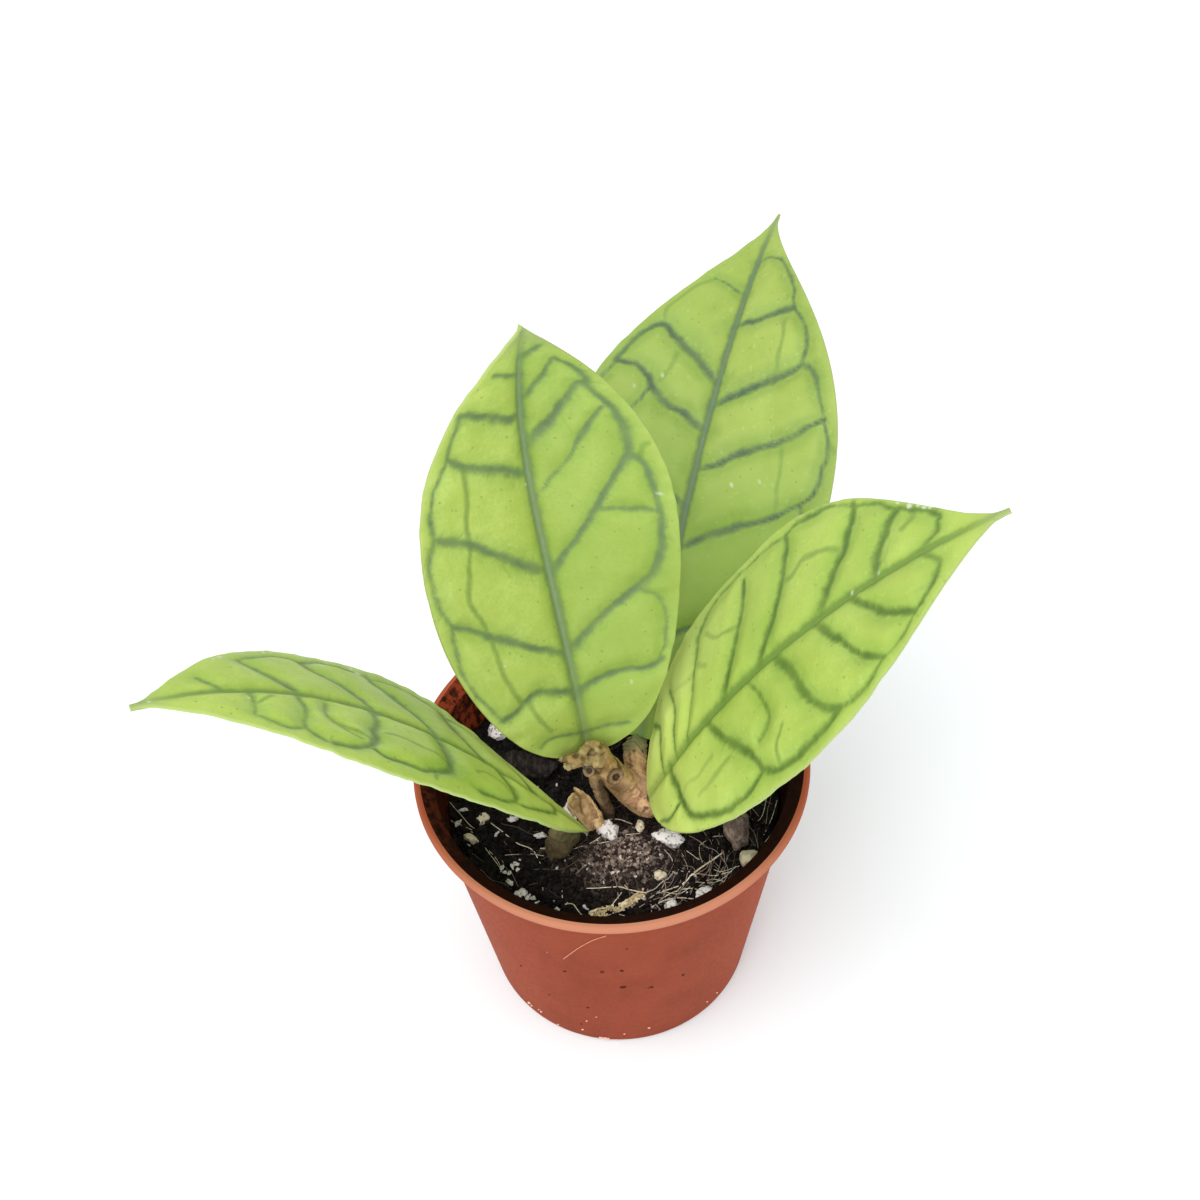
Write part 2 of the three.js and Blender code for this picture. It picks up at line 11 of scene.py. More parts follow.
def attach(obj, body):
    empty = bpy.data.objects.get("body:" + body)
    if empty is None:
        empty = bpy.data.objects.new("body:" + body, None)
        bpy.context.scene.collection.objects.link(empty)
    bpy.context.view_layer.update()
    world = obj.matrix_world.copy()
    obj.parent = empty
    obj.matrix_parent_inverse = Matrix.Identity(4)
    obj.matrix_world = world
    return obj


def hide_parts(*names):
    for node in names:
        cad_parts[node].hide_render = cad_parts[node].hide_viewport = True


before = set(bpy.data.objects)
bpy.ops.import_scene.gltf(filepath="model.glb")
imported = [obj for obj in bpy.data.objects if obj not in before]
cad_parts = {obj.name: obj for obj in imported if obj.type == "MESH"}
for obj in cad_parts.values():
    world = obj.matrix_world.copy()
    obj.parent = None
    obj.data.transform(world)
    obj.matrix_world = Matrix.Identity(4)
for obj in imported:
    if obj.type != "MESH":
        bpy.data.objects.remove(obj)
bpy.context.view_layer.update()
mm = 0.001

# Camera, light and floor

view = {
    "place": (-0.49, -138.97, 243.44),
    "downwards": 46.392,  # degrees below level
    "roll": -3.035,
    "lens": 39.0,
    "sensor": 36.0,
}
light = {
    "sky": 0.8,
    "sunFrom": (-0.42, -0.28, 0.86),
    "sunWidth": 50,  # degrees
    "sunPower": 1.5,
    "fillPlace": (-120, -620, 520),
    "fillSize": 520,
    "fillPower": 2.1,
    "sidePlace": (620, -260, 300),
    "sideSize": 420,
    "sidePower": 0.5,
    "aim": (0, 0, 60.0),
}
sheet = {"reach": 3000, "drop": 0.02, "colour": "#eff3f5"}  # the white paper under the pot

# Helpers: noise, smooth lines, surfaces


def latticeValue(i, j, k, seed):
    # a fixed value from -1 to 1 for each lattice point: the fractional part of a large sine of its indices
    scattered = np.sin(i * 127.1 + j * 311.7 + k * 74.7 + seed * 53.3) * 43758.5453
    return 2 * (scattered - np.floor(scattered)) - 1


def noise(points, size, seed=0):
    # smooth noise: the eight lattice values round a point, blended by 3f^2 - 2f^3 along each axis
    place = np.asarray(points, float) / size
    base = np.floor(place)
    f = place - base
    f = f * f * (3 - 2 * f)
    total = 0
    for corner in np.ndindex(2, 2, 2):
        weight = np.prod(np.where(corner, f, 1 - f), axis=-1)
        cell = base + corner
        total = total + weight * latticeValue(cell[..., 0], cell[..., 1], cell[..., 2], seed)
    return total


def roughNoise(points, size, octaves, seed=0):
    # noise added to itself at half the size and half the height, once for each octave
    return sum(noise(points, size / 2 ** n, seed + n) / 2 ** n for n in range(octaves))


def flatNoise(x, y, size, octaves, seed=0):
    # the same noise over a plane
    return roughNoise(np.stack([x, y, np.zeros_like(x)], -1), size, octaves, seed)


def relief(points, layers):
    # height * rough noise, added up over the layers; each gives height, size, octaves and seed
    return sum(height * roughNoise(points, size, octaves, seed) for height, size, octaves, seed in layers)


def awayFrom(points, place):
    # each point's distance from a place
    return np.linalg.norm(points - np.array(place), axis=1)


def ease(low, high, x):
    # 0 below low, 1 above high, 3t^2 - 2t^3 between
    t = np.clip((x - low) / (high - low), 0, 1)
    return t * t * (3 - 2 * t)


def smoothLine(knots, steps):
    # centripetal Catmull-Rom line through the knots; columns past the third change linearly between knots
    knots = np.asarray(knots, float)
    place = knots[:, :3]
    around = np.vstack([2 * place[0] - place[1], place, 2 * place[-1] - place[-2]])
    s = np.linspace(0, len(knots) - 1, steps * (len(knots) - 1) + 1)
    k = np.minimum(s.astype(int), len(knots) - 2)
    f = (s - k)[:, None]
    a, b, c, d = around[k], around[k + 1], around[k + 2], around[k + 3]
    ab, bc, cd = [np.linalg.norm(q - p, axis=1, keepdims=True) ** 0.5 for p, q in ((a, b), (b, c), (c, d))]
    leave = ((b - a) / ab - (c - a) / (ab + bc) + (c - b) / bc) * bc
    arrive = ((c - b) / bc - (d - b) / (bc + cd) + (d - c) / cd) * bc
    square, cube = 3 * (c - b) - 2 * leave - arrive, 2 * (b - c) + leave + arrive
    line = b + leave * f + square * f ** 2 + cube * f ** 3
    return line, knots[k, 3:] * (1 - f) + knots[k + 1, 3:] * f


def gridQuads(rows, columns, wrap=False, start=0):
    # point numbers of the quads of a grid stored row by row; wrap joins the last column to the first
    i, j = np.meshgrid(np.arange(rows - 1), np.arange(columns if wrap else columns - 1), indexing="ij")
    n = (j + 1) % columns
    quads = np.stack([i * columns + j, (i + 1) * columns + j, (i + 1) * columns + n, i * columns + n], -1)
    return start + quads.reshape(-1, 4)


def shellFaces(rows, sides, inwards=False):
    # a grid that wraps round, closed at its first and last row by a fan to one point each; those two points
    # follow the grid's own
    count = rows * sides
    around = np.arange(sides)
    after = (around + 1) % sides
    last = count - sides
    quads = gridQuads(rows, sides, True)
    fans = [
        np.stack([np.full(sides, count), around, after], -1),
        np.stack([np.full(sides, count + 1), last + after, last + around], -1),
    ]
    if inwards:
        quads, fans = quads[:, ::-1], [fan[:, [0, 2, 1]] for fan in fans]
    return [quads, *fans]


def joined(shapes):
    # several (points, face lists, marks) as one, with the face numbers shifted
    points, faces, marks, count = [], [], {}, 0
    for shapePoints, shapeFaces, shapeMarks in shapes:
        points.append(shapePoints)
        faces += [f + count for f in shapeFaces]
        count += len(shapePoints)
        for key in shapeMarks:
            marks.setdefault(key, []).append(shapeMarks[key])
    return np.vstack(points), faces, {key: np.concatenate(value) for key, value in marks.items()}


def plate(upper, lower, marks):
    # a closed plate between two grids: the upper face, the lower face turned over, and a band round the rim
    rows, columns = upper.shape[:2]
    under = rows * columns
    top = gridQuads(rows, columns)
    edge = np.concatenate([
        np.arange(columns),
        columns * np.arange(1, rows) + columns - 1,
        (rows - 1) * columns + np.arange(columns - 2, -1, -1),
        columns * np.arange(rows - 2, 0, -1),
    ])
    after = np.roll(edge, -1)
    band = np.stack([edge, after, after + under, edge + under], -1)
    points = np.vstack([upper.reshape(-1, 3), lower.reshape(-1, 3)])
    flat = {key: value.reshape(under, *value.shape[2:]) for key, value in marks.items()}
    both = {key: np.concatenate([value, value]) for key, value in flat.items()}
    both["upper"] = np.repeat([1.0, 0.0], under)
    return points, [top, under + top[:, ::-1], band], both


def tube(knots, sides=12, steps=6, lumps=0.0, seed=0):
    # a round profile of changing radius carried along a smooth line, closed by a point at each end
    line, extra = smoothLine(knots, steps)
    along = np.gradient(line, axis=0)
    along /= np.linalg.norm(along, axis=1, keepdims=True)
    side = np.array([1, 0.3, 0.2])
    sideways = []
    for direction in along:
        side = side - direction * (side @ direction)
        side = side / np.linalg.norm(side)
        sideways.append(side)
    sideways = np.array(sideways)
    upwards = np.cross(along, sideways)
    turn = np.linspace(0, 2 * math.pi, sides, endpoint=False)
    ring = sideways[:, None] * np.cos(turn)[:, None] + upwards[:, None] * np.sin(turn)[:, None]
    radius = extra[:, None, :1]
    skin = line[:, None] + ring * radius
    if lumps:
        skin = skin + ring * radius * lumps * roughNoise(skin, 2.2, 3, seed)[..., None]
    points = np.vstack([skin.reshape(-1, 3), line[:1], line[-1:]])
    return points, shellFaces(len(line), sides, True), {}


def ballGrid(rings, sides):
    # unit directions of a ball in rings from pole to pole, with one point at each pole
    tilt = np.linspace(0, math.pi, rings + 2)[1:-1]
    turn = np.linspace(0, 2 * math.pi, sides, endpoint=False)
    tilt, turn = np.meshgrid(tilt, turn, indexing="ij")
    skin = np.stack([np.sin(tilt) * np.cos(turn), np.sin(tilt) * np.sin(turn), np.cos(tilt)], -1)
    return np.vstack([skin.reshape(-1, 3), [[0, 0, 1], [0, 0, -1]]]), shellFaces(rings, sides)


def addToScene(name, data):
    # an object in the scene that shows a mesh, a camera or a light
    made = bpy.data.objects.new(name, data)
    bpy.context.scene.collection.objects.link(made)
    return made


def meshObject(name, shape, material, scale=mm):
    # a shape as a mesh at the origin; each of its marks becomes an attribute of the points
    points, faces, marks = shape
    mesh = bpy.data.meshes.new(name)
    mesh.from_pydata((points * scale).tolist(), [], [face for block in faces for face in block.tolist()])
    for key, values in marks.items():
        kind, field = ("FLOAT", "value") if values.ndim == 1 else ("FLOAT_VECTOR", "vector")
        mesh.attributes.new(key, kind, "POINT").data.foreach_set(field, values.astype(np.float32).ravel())
    mesh.polygons.foreach_set("use_smooth", np.full(len(mesh.polygons), True))
    if material:
        mesh.materials.append(material)
    mesh.update()
    return addToScene(name, mesh)


def piece(name, shape, material, nodes=()):
    # a finished piece on the only body, in place of the solids that it stands for
    made = meshObject(name, shape, material)
    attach(made, "root")
    if nodes:
        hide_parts(*nodes)
    return made


def fused(shapes, cell):
    # one skin round several closed shapes that overlap, from a voxel grid of the given cell size
    rough = meshObject("fusing", joined(shapes), None, scale=1.0)
    fuse = rough.modifiers.new("fuse", "REMESH")
    fuse.mode = "VOXEL"
    fuse.voxel_size = cell
    graph = bpy.context.evaluated_depsgraph_get()
    mesh = bpy.data.meshes.new_from_object(rough.evaluated_get(graph))
    points = np.empty(len(mesh.vertices) * 3)
    normals = np.empty(len(mesh.vertices) * 3)
    corners = np.empty(len(mesh.loops), int)
    mesh.vertices.foreach_get("co", points)
    mesh.vertices.foreach_get("normal", normals)
    mesh.loops.foreach_get("vertex_index", corners)
    sizes = np.empty(len(mesh.polygons), int)
    mesh.polygons.foreach_get("loop_total", sizes)
    starts = np.concatenate([[0], np.cumsum(sizes)[:-1]])
    faces = [corners[starts[sizes == n][:, None] + np.arange(n)] for n in (3, 4) if (sizes == n).any()]
    bpy.data.objects.remove(rough)
    bpy.data.meshes.remove(mesh)
    return points.reshape(-1, 3), normals.reshape(-1, 3), faces


# Materials


def colour(code):
    # an sRGB hex colour as the linear values that a shader takes
    shares = np.array([int(code[i:i + 2], 16) / 255 for i in (1, 3, 5)])
    linear = np.where(shares <= 0.04045, shares / 12.92, ((shares + 0.055) / 1.055) ** 2.4)
    return (*linear, 1.0)


def addNode(tree, kind, settings=None, inputs=None):
    # adds a node, sets its properties, then gives each input a value or a link
    node = tree.nodes.new(kind)
    for key, value in (settings or {}).items():
        setattr(node, key, value)
    for key, value in (inputs or {}).items():
        if isinstance(value, bpy.types.NodeSocket):
            tree.links.new(value, node.inputs[key])
        else:
            node.inputs[key].default_value = value
    return node


def newMaterial(name):
    # an empty material, its node tree, and the place on the object that its patterns follow
    material = bpy.data.materials.new(name)
    material.use_nodes = True
    tree = material.node_tree
    tree.nodes.clear()
    where = addNode(tree, "ShaderNodeTexCoord").outputs["Object"]
    return material, tree, where


def grain(tree, where, size, detail=3.0, roughness=0.5):
    # a noise whose features are about `size` millimetres
    inputs = {"Vector": where, "Scale": 1 / (size * mm), "Detail": detail, "Roughness": roughness}
    return addNode(tree, "ShaderNodeTexNoise", None, inputs).outputs[0]


def stretched(tree, where, scale):
    # the place with each axis scaled; below 1 it draws a pattern out along that axis
    return addNode(tree, "ShaderNodeMapping", None, {"Vector": where, "Scale": scale}).outputs[0]


def between(tree, value, low, high, toLow=0.0, toHigh=1.0):
    # toLow where the value is below low, toHigh where it is above high, 3t^2 - 2t^3 between
    inputs = {0: value, 1: low, 2: high, 3: toLow, 4: toHigh}
    return addNode(tree, "ShaderNodeMapRange", {"interpolation_type": "SMOOTHSTEP"}, inputs).outputs[0]


def blend(tree, share, first, second):
    # the first colour times (1 - share) + the second times the share
    inputs = {0: share, 6: first, 7: second}
    return addNode(tree, "ShaderNodeMix", {"data_type": "RGBA", "blend_type": "MIX"}, inputs).outputs[2]


def mixed(tree, operation, first, second):
    # two numbers added, multiplied, or the larger of them, as the operation says
    return addNode(tree, "ShaderNodeMath", {"operation": operation}, {0: first, 1: second}).outputs[0]


def mark(tree, name):
    # a mark of the shape as a number
    return addNode(tree, "ShaderNodeAttribute", {"attribute_name": name}).outputs["Fac"]


def softMark(tree, name, share):
    # 3m^2 - 2m^3 of a mark m from 0 to 1, times the share
    return between(tree, mark(tree, name), 0, 1, 0, share)


def layered(tree, base, layers):
    # colours laid over a base one after the other, each by its own share
    for share, code in layers:
        base = blend(tree, share, base, colour(code))
    return base


def finishMaterial(tree, baseColour, roughness, height=None, depth=0.1, strength=0.6, **others):
    # the shader and its output; height is bumped by `depth` millimetres
    inputs = {"Base Color": baseColour, "Roughness": roughness, **others}
    if height is not None:
        bump = {"Height": height, "Distance": depth * mm, "Strength": strength}
        inputs["Normal"] = addNode(tree, "ShaderNodeBump", None, bump).outputs[0]
    shader = addNode(tree, "ShaderNodeBsdfPrincipled", None, inputs)
    addNode(tree, "ShaderNodeOutputMaterial", None, {"Surface": shader.outputs[0]})


def waxyLeaf(name, light, deep, vein, rim, midColour):
    # Living leaf, grown with a thin wax coat: soft even colour between grey-green veins, a satin sheen.
    # The marks rib, thread and middle are distances in vein widths, so the edges of veins stay soft.
    material, tree, where = newMaterial(name)

    # the soft, uneven edge of every vein
    ripple = addNode(tree, "ShaderNodeMath", {"operation": "MULTIPLY_ADD"}, {
        0: grain(tree, where, 1.4, 4, 0.65), 1: 1.1, 2: -0.55}).outputs[0]
    toRib = mixed(tree, "ADD", mark(tree, "rib"), ripple)

    # the cells between the veins: two greens in clouds, mottled, and lighter in the middle of a cell by a
    # painted highlight where the cell swells
    cells = layered(tree, colour(light), [
        (between(tree, grain(tree, where, 9, 3), 0.35, 0.65), deep),
        (between(tree, grain(tree, where, 2.2, 3), 0.4, 0.7, 0, 0.3), "#8fae4a"),
        (between(tree, grain(tree, where, 1.0, 2), 0.6, 0.75, 0, 0.3), "#c3d481"),
        (between(tree, toRib, 1.2, 3.8, 0, 0.26), "#c6d166"),
        (between(tree, grain(tree, where, 0.55, 4, 0.7), 0.35, 0.75, 0, 0.35), "#95ab50"),
        (between(tree, mark(tree, "edge"), 0.3, 3.6, 0.35, 0), rim),
    ])

    # thin side veins: spurs of a net of cells next to the ribs, and the drawn threads
    flat = addNode(tree, "ShaderNodeAttribute", {"attribute_name": "flat"}).outputs["Vector"]
    wander = addNode(tree, "ShaderNodeTexNoise", None, {"Vector": where, "Scale": 1 / (2.6 * mm)})
    bent = addNode(tree, "ShaderNodeVectorMath", {"operation": "MULTIPLY_ADD"}, {
        0: wander.outputs["Color"], 1: (2.4 * mm, 2.4 * mm, 2.4 * mm), 2: flat}).outputs[0]
    net = {"feature": "DISTANCE_TO_EDGE", "voronoi_dimensions": "2D"}
    mesh = addNode(tree, "ShaderNodeTexVoronoi", net, {
        "Vector": bent, "Scale": 1 / (4.6 * mm)}).outputs["Distance"]
    nearRib = between(tree, toRib, 0.8, 2.9, 0.8, 0)
    spurs = mixed(tree, "MULTIPLY", between(tree, mesh, 0.01, 0.085, 1, 0), nearRib)
    spurs = mixed(tree, "MULTIPLY", spurs, between(tree, grain(tree, where, 4.0, 1), 0.45, 0.62, 0, 0.4))
    threads = between(tree, mixed(tree, "ADD", mark(tree, "thread"), ripple), 0.1, 1.6, 0.75, 0)

    # the ribs have a soft skirt and a darker core
    strength = between(tree, grain(tree, where, 6, 2), 0.3, 0.65, 0.74, 1.0)
    skirt = mixed(tree, "MULTIPLY", between(tree, toRib, 0.3, 2.0, 0.42, 0), strength)
    core = mixed(tree, "MULTIPLY", between(tree, toRib, 0.05, 1.15, 1, 0), strength)

    # the midrib fades at both ends and has a lighter line along its centre, a painted highlight of the wax in
    # its furrow
    along = mark(tree, "along")
    towardsTip = between(tree, along, 0.86, 1, 1, 0.25)
    fade = mixed(tree, "MULTIPLY", between(tree, along, 0.05, 0.32, 0.45, 1), towardsTip)
    toMiddle = mixed(tree, "ADD", mark(tree, "middle"), mixed(tree, "MULTIPLY", ripple, 0.9))
    beside, middle, centre = [
        mixed(tree, "MULTIPLY", between(tree, toMiddle, near, far, share, 0), fade)
        for near, far, share in ((0.5, 2.2, 0.5), (0.2, 1.35, 0.8), (0.0, 0.8, 0.55))
    ]

    # dark specks, dust and flecks of wax
    dots = addNode(tree, "ShaderNodeTexVoronoi", {"voronoi_dimensions": "2D"}, {
        "Vector": flat, "Scale": 1 / (3.4 * mm)}).outputs["Distance"]
    specks = mixed(tree, "MULTIPLY", between(tree, dots, 0.03, 0.085, 0.6, 0),
                   between(tree, grain(tree, where, 6.0, 1), 0.48, 0.58, 0, 1))
    dust = between(tree, grain(tree, where, 0.5, 1), 0.82, 0.84, 0, 0.5)
    flecks = mixed(tree, "MULTIPLY", mark(tree, "fleck"), 0.75)

    # the upper face: side veins, painted shade and painted light at the base, ribs, midrib, specks, dry tip,
    # a darker margin line (partly its own colour, partly painted shade on the edge), dust
    top = layered(tree, cells, [
        (mixed(tree, "MAXIMUM", spurs, threads), "#708b42"),
        # painted shade on the halves and the base, then painted light at the base
        (mark(tree, "shade"), "#809e42"),
        (mark(tree, "pale"), "#d3e27a"),
        (skirt, "#87a447"),
        (core, vein),
        (beside, "#87a447"),
        (middle, vein),
        (centre, midColour),
        (specks, "#7c8a3c"),
        (between(tree, along, 0.93, 1, 0, 0.6), "#8b9a6c"),
        # the margin line: its own duller green, and painted shade where the edge faces the light
        (between(tree, mark(tree, "edge"), 0.0, 0.4, 0.6, 0), "#93a05e"),
        (mixed(tree, "MAXIMUM", dust, flecks), "#cfd6c2"),
    ])

    # the paler underside
    under = layered(tree, colour("#a3b96c"), [
        (between(tree, toRib, 0.2, 1.2, 1, 0), "#8fa766"),
        (middle, "#93a86e"),
    ])
    base = blend(tree, mark(tree, "upper"), under, top)
    roughness = between(tree, grain(tree, where, 2.5, 2), 0.3, 0.7, 0.46, 0.6)
    finishMaterial(tree, base, roughness, grain(tree, where, 0.5, 3), 0.03, 0.5, **{
        "IOR": 1.42, "Coat Weight": 0.05, "Coat Roughness": 0.4, "Specular IOR Level": 0.35,
        "Subsurface Weight": 0.1, "Subsurface Radius": (0.0012, 0.0022, 0.0006), "Subsurface Scale": 1.0,
    })
    return material


def mouldedPlastic():
    # Polypropylene, injection moulded in terracotta colour: satin. Painted light makes the rim paler, most at
    # the front, and the sides brighter, the right one most; inside, peat stuck to the wall and painted shade
    # darken it
    material, tree, where = newMaterial("terracottaPolypropylene")
    wall = layered(tree, colour("#813a26"), [
        (between(tree, grain(tree, where, 12, 3), 0.3, 0.7), "#8b412b"),
        # painted light: the sides of the wall brighter
        (mark(tree, "sides"), "#9c4629"),
        (between(tree, grain(tree, stretched(tree, where, (1, 1, 0.2)), 4, 2), 0.4, 0.7, 0, 0.35), "#94442c"),
        (between(tree, grain(tree, where, 1.2, 5, 0.7), 0.6, 0.8, 0, 0.2), "#a05036"),
    ])
    # the rim in a paler colour, palest at the front: painted light
    litLip = blend(tree, mark(tree, "paintedLipLight"), colour("#a05338"), colour("#b87c61"))
    wall = blend(tree, mixed(tree, "MULTIPLY", mark(tree, "rim"), 0.92), wall, litLip)
    # the inside: red-brown, patched with peat, and darker towards the front by peat and painted shade
    inner = layered(tree, colour("#83371f"), [
        (between(tree, grain(tree, where, 1.7, 4, 0.65), 0.42, 0.6), "#2f150d"),
        (mark(tree, "dirtAndShade"), "#1c0c07"),
    ])
    base = blend(tree, mark(tree, "inside"), wall, inner)
    roughness = between(tree, grain(tree, where, 0.9, 3), 0.3, 0.7, 0.5, 0.62)
    others = {"IOR": 1.45, "Specular IOR Level": 0.04}
    finishMaterial(tree, base, roughness, grain(tree, where, 0.6, 3), 0.02, 0.3, **others)
    return material


def pottingPeat():
    # Peat and fine bark, damp: almost black, with brown crumbs where it is drier
    material, tree, where = newMaterial("dampPeat")
    fine = between(tree, grain(tree, where, 0.7, 4, 0.7), 0.35, 0.7)
    dark = blend(tree, fine, colour("#050403"), colour("#17110e"))
    dry = blend(tree, fine, colour("#55463d"), colour("#b8a294"))
    base = blend(tree, mark(tree, "dry"), dark, dry)
    roughness = between(tree, grain(tree, where, 1.5, 2), 0.35, 0.6, 0.38, 0.95)
    others = {"Specular IOR Level": 0.2}
    finishMaterial(tree, base, roughness, grain(tree, where, 0.4, 4, 0.7), 0.25, 1.0, **others)
    return material


def crumbMaterial():
    # Crumbs of peat, bark and grit, and loose fibres: each has its own tone, from near black to brown or pale
    material, tree, where = newMaterial("peatCrumbs")
    tone = mark(tree, "tone")
    base = layered(tree, colour("#050403"), [
        (between(tree, tone, 0, 0.55), "#2d2320"),
        (between(tree, tone, 0.5, 0.92), "#a59084"),
        (between(tree, tone, 0.93, 0.99), "#cfc4b6"),
    ])
    finishMaterial(tree, base, 0.85, grain(tree, where, 0.3, 2), 0.1, 0.8, **{"Specular IOR Level": 0.15})
    return material


def corkyBark(name, light, dark, tip):
    # Young woody stem with corky bark: tan, creased, darker in its folds by painted shade, lighter on its
    # knob by painted highlights, and greener near the top
    material, tree, where = newMaterial(name)
    streaks = stretched(tree, where, (1, 1, 0.45))
    base = layered(tree, colour(light), [
        (between(tree, grain(tree, streaks, 1.8, 4, 0.6), 0.35, 0.68), dark),
        (softMark(tree, "knob", 0.8), "#9a8556"),
        (softMark(tree, "young", 0.85), tip),
        (softMark(tree, "blush", 0.75), "#d2a883"),
        (softMark(tree, "grey", 0.8), "#857a6c"),
        (between(tree, grain(tree, where, 0.5, 3), 0.6, 0.72, 0, 0.45), "#6d5334"),
        # painted shade in folds, creases, hollows and scar pits, with the scars' own dark rings
        (softMark(tree, "fold", 0.88), "#3a2917"),
        # painted highlights on the knob and scars, and the real pale wood of the torn ends
        (softMark(tree, "pale", 0.9), "#e3d3a8"),
    ])
    others = {"Specular IOR Level": 0.3}
    finishMaterial(tree, base, 0.66, grain(tree, where, 0.45, 4, 0.65), 0.12, 0.9, **others)
    return material


def driedHusk():
    # Dead leaf scale, dried on the plant: papery, tan, yellower along its edge and brown in its creases by
    # painted shade
    material, tree, where = newMaterial("driedHusk")
    base = layered(tree, colour("#dfbc8b"), [
        (between(tree, grain(tree, where, 1.4, 4, 0.6), 0.35, 0.65), "#bd9564"),
        (softMark(tree, "margin", 0.6), "#dcc28d"),
        # painted shade in the creases
        (softMark(tree, "fold", 0.8), "#6b4d2c"),
    ])
    finishMaterial(tree, base, 0.7, grain(tree, where, 0.6, 4), 0.15, 0.9)
    return material


def porousStone(name, light, dark, pores, depth):
    # Small mineral grain: perlite is white foamed glass full of pores, grit, pebble and lime are smoother
    material, tree, where = newMaterial(name)
    inputs = {"Vector": where, "Scale": 1 / (pores * mm)}
    cells = addNode(tree, "ShaderNodeTexVoronoi", None, inputs).outputs["Distance"]
    pits = between(tree, cells, 0.12, 0.45)
    soiled = between(tree, grain(tree, where, 0.9, 3), 0.6, 0.75, 0, 0.6)
    base = layered(tree, colour(dark), [(pits, light), (soiled, dark)])
    finishMaterial(tree, base, 0.8, pits, depth, 0.8)
    return material


def roughWood(name, light, dark):
    # Conifer bark chip, or soil dried on the wall: dull, in rough layers
    material, tree, where = newMaterial(name)
    bands = between(tree, grain(tree, stretched(tree, where, (1, 0.4, 1)), 0.9, 4, 0.7), 0.35, 0.68)
    base = blend(tree, bands, colour(dark), colour(light))
    finishMaterial(tree, base, 0.85, bands, 0.3, 0.8, **{"Specular IOR Level": 0.15})
    return material


def dryFibre(name, light, dark):
    # Fine dead root or hair: pale, dull, a little patchy along its length
    material, tree, where = newMaterial(name)
    base = blend(tree, between(tree, grain(tree, where, 1.1, 3), 0.35, 0.65), colour(light), colour(dark))
    finishMaterial(tree, base, 0.7, grain(tree, where, 0.25, 2), 0.05, 0.6)
    return material
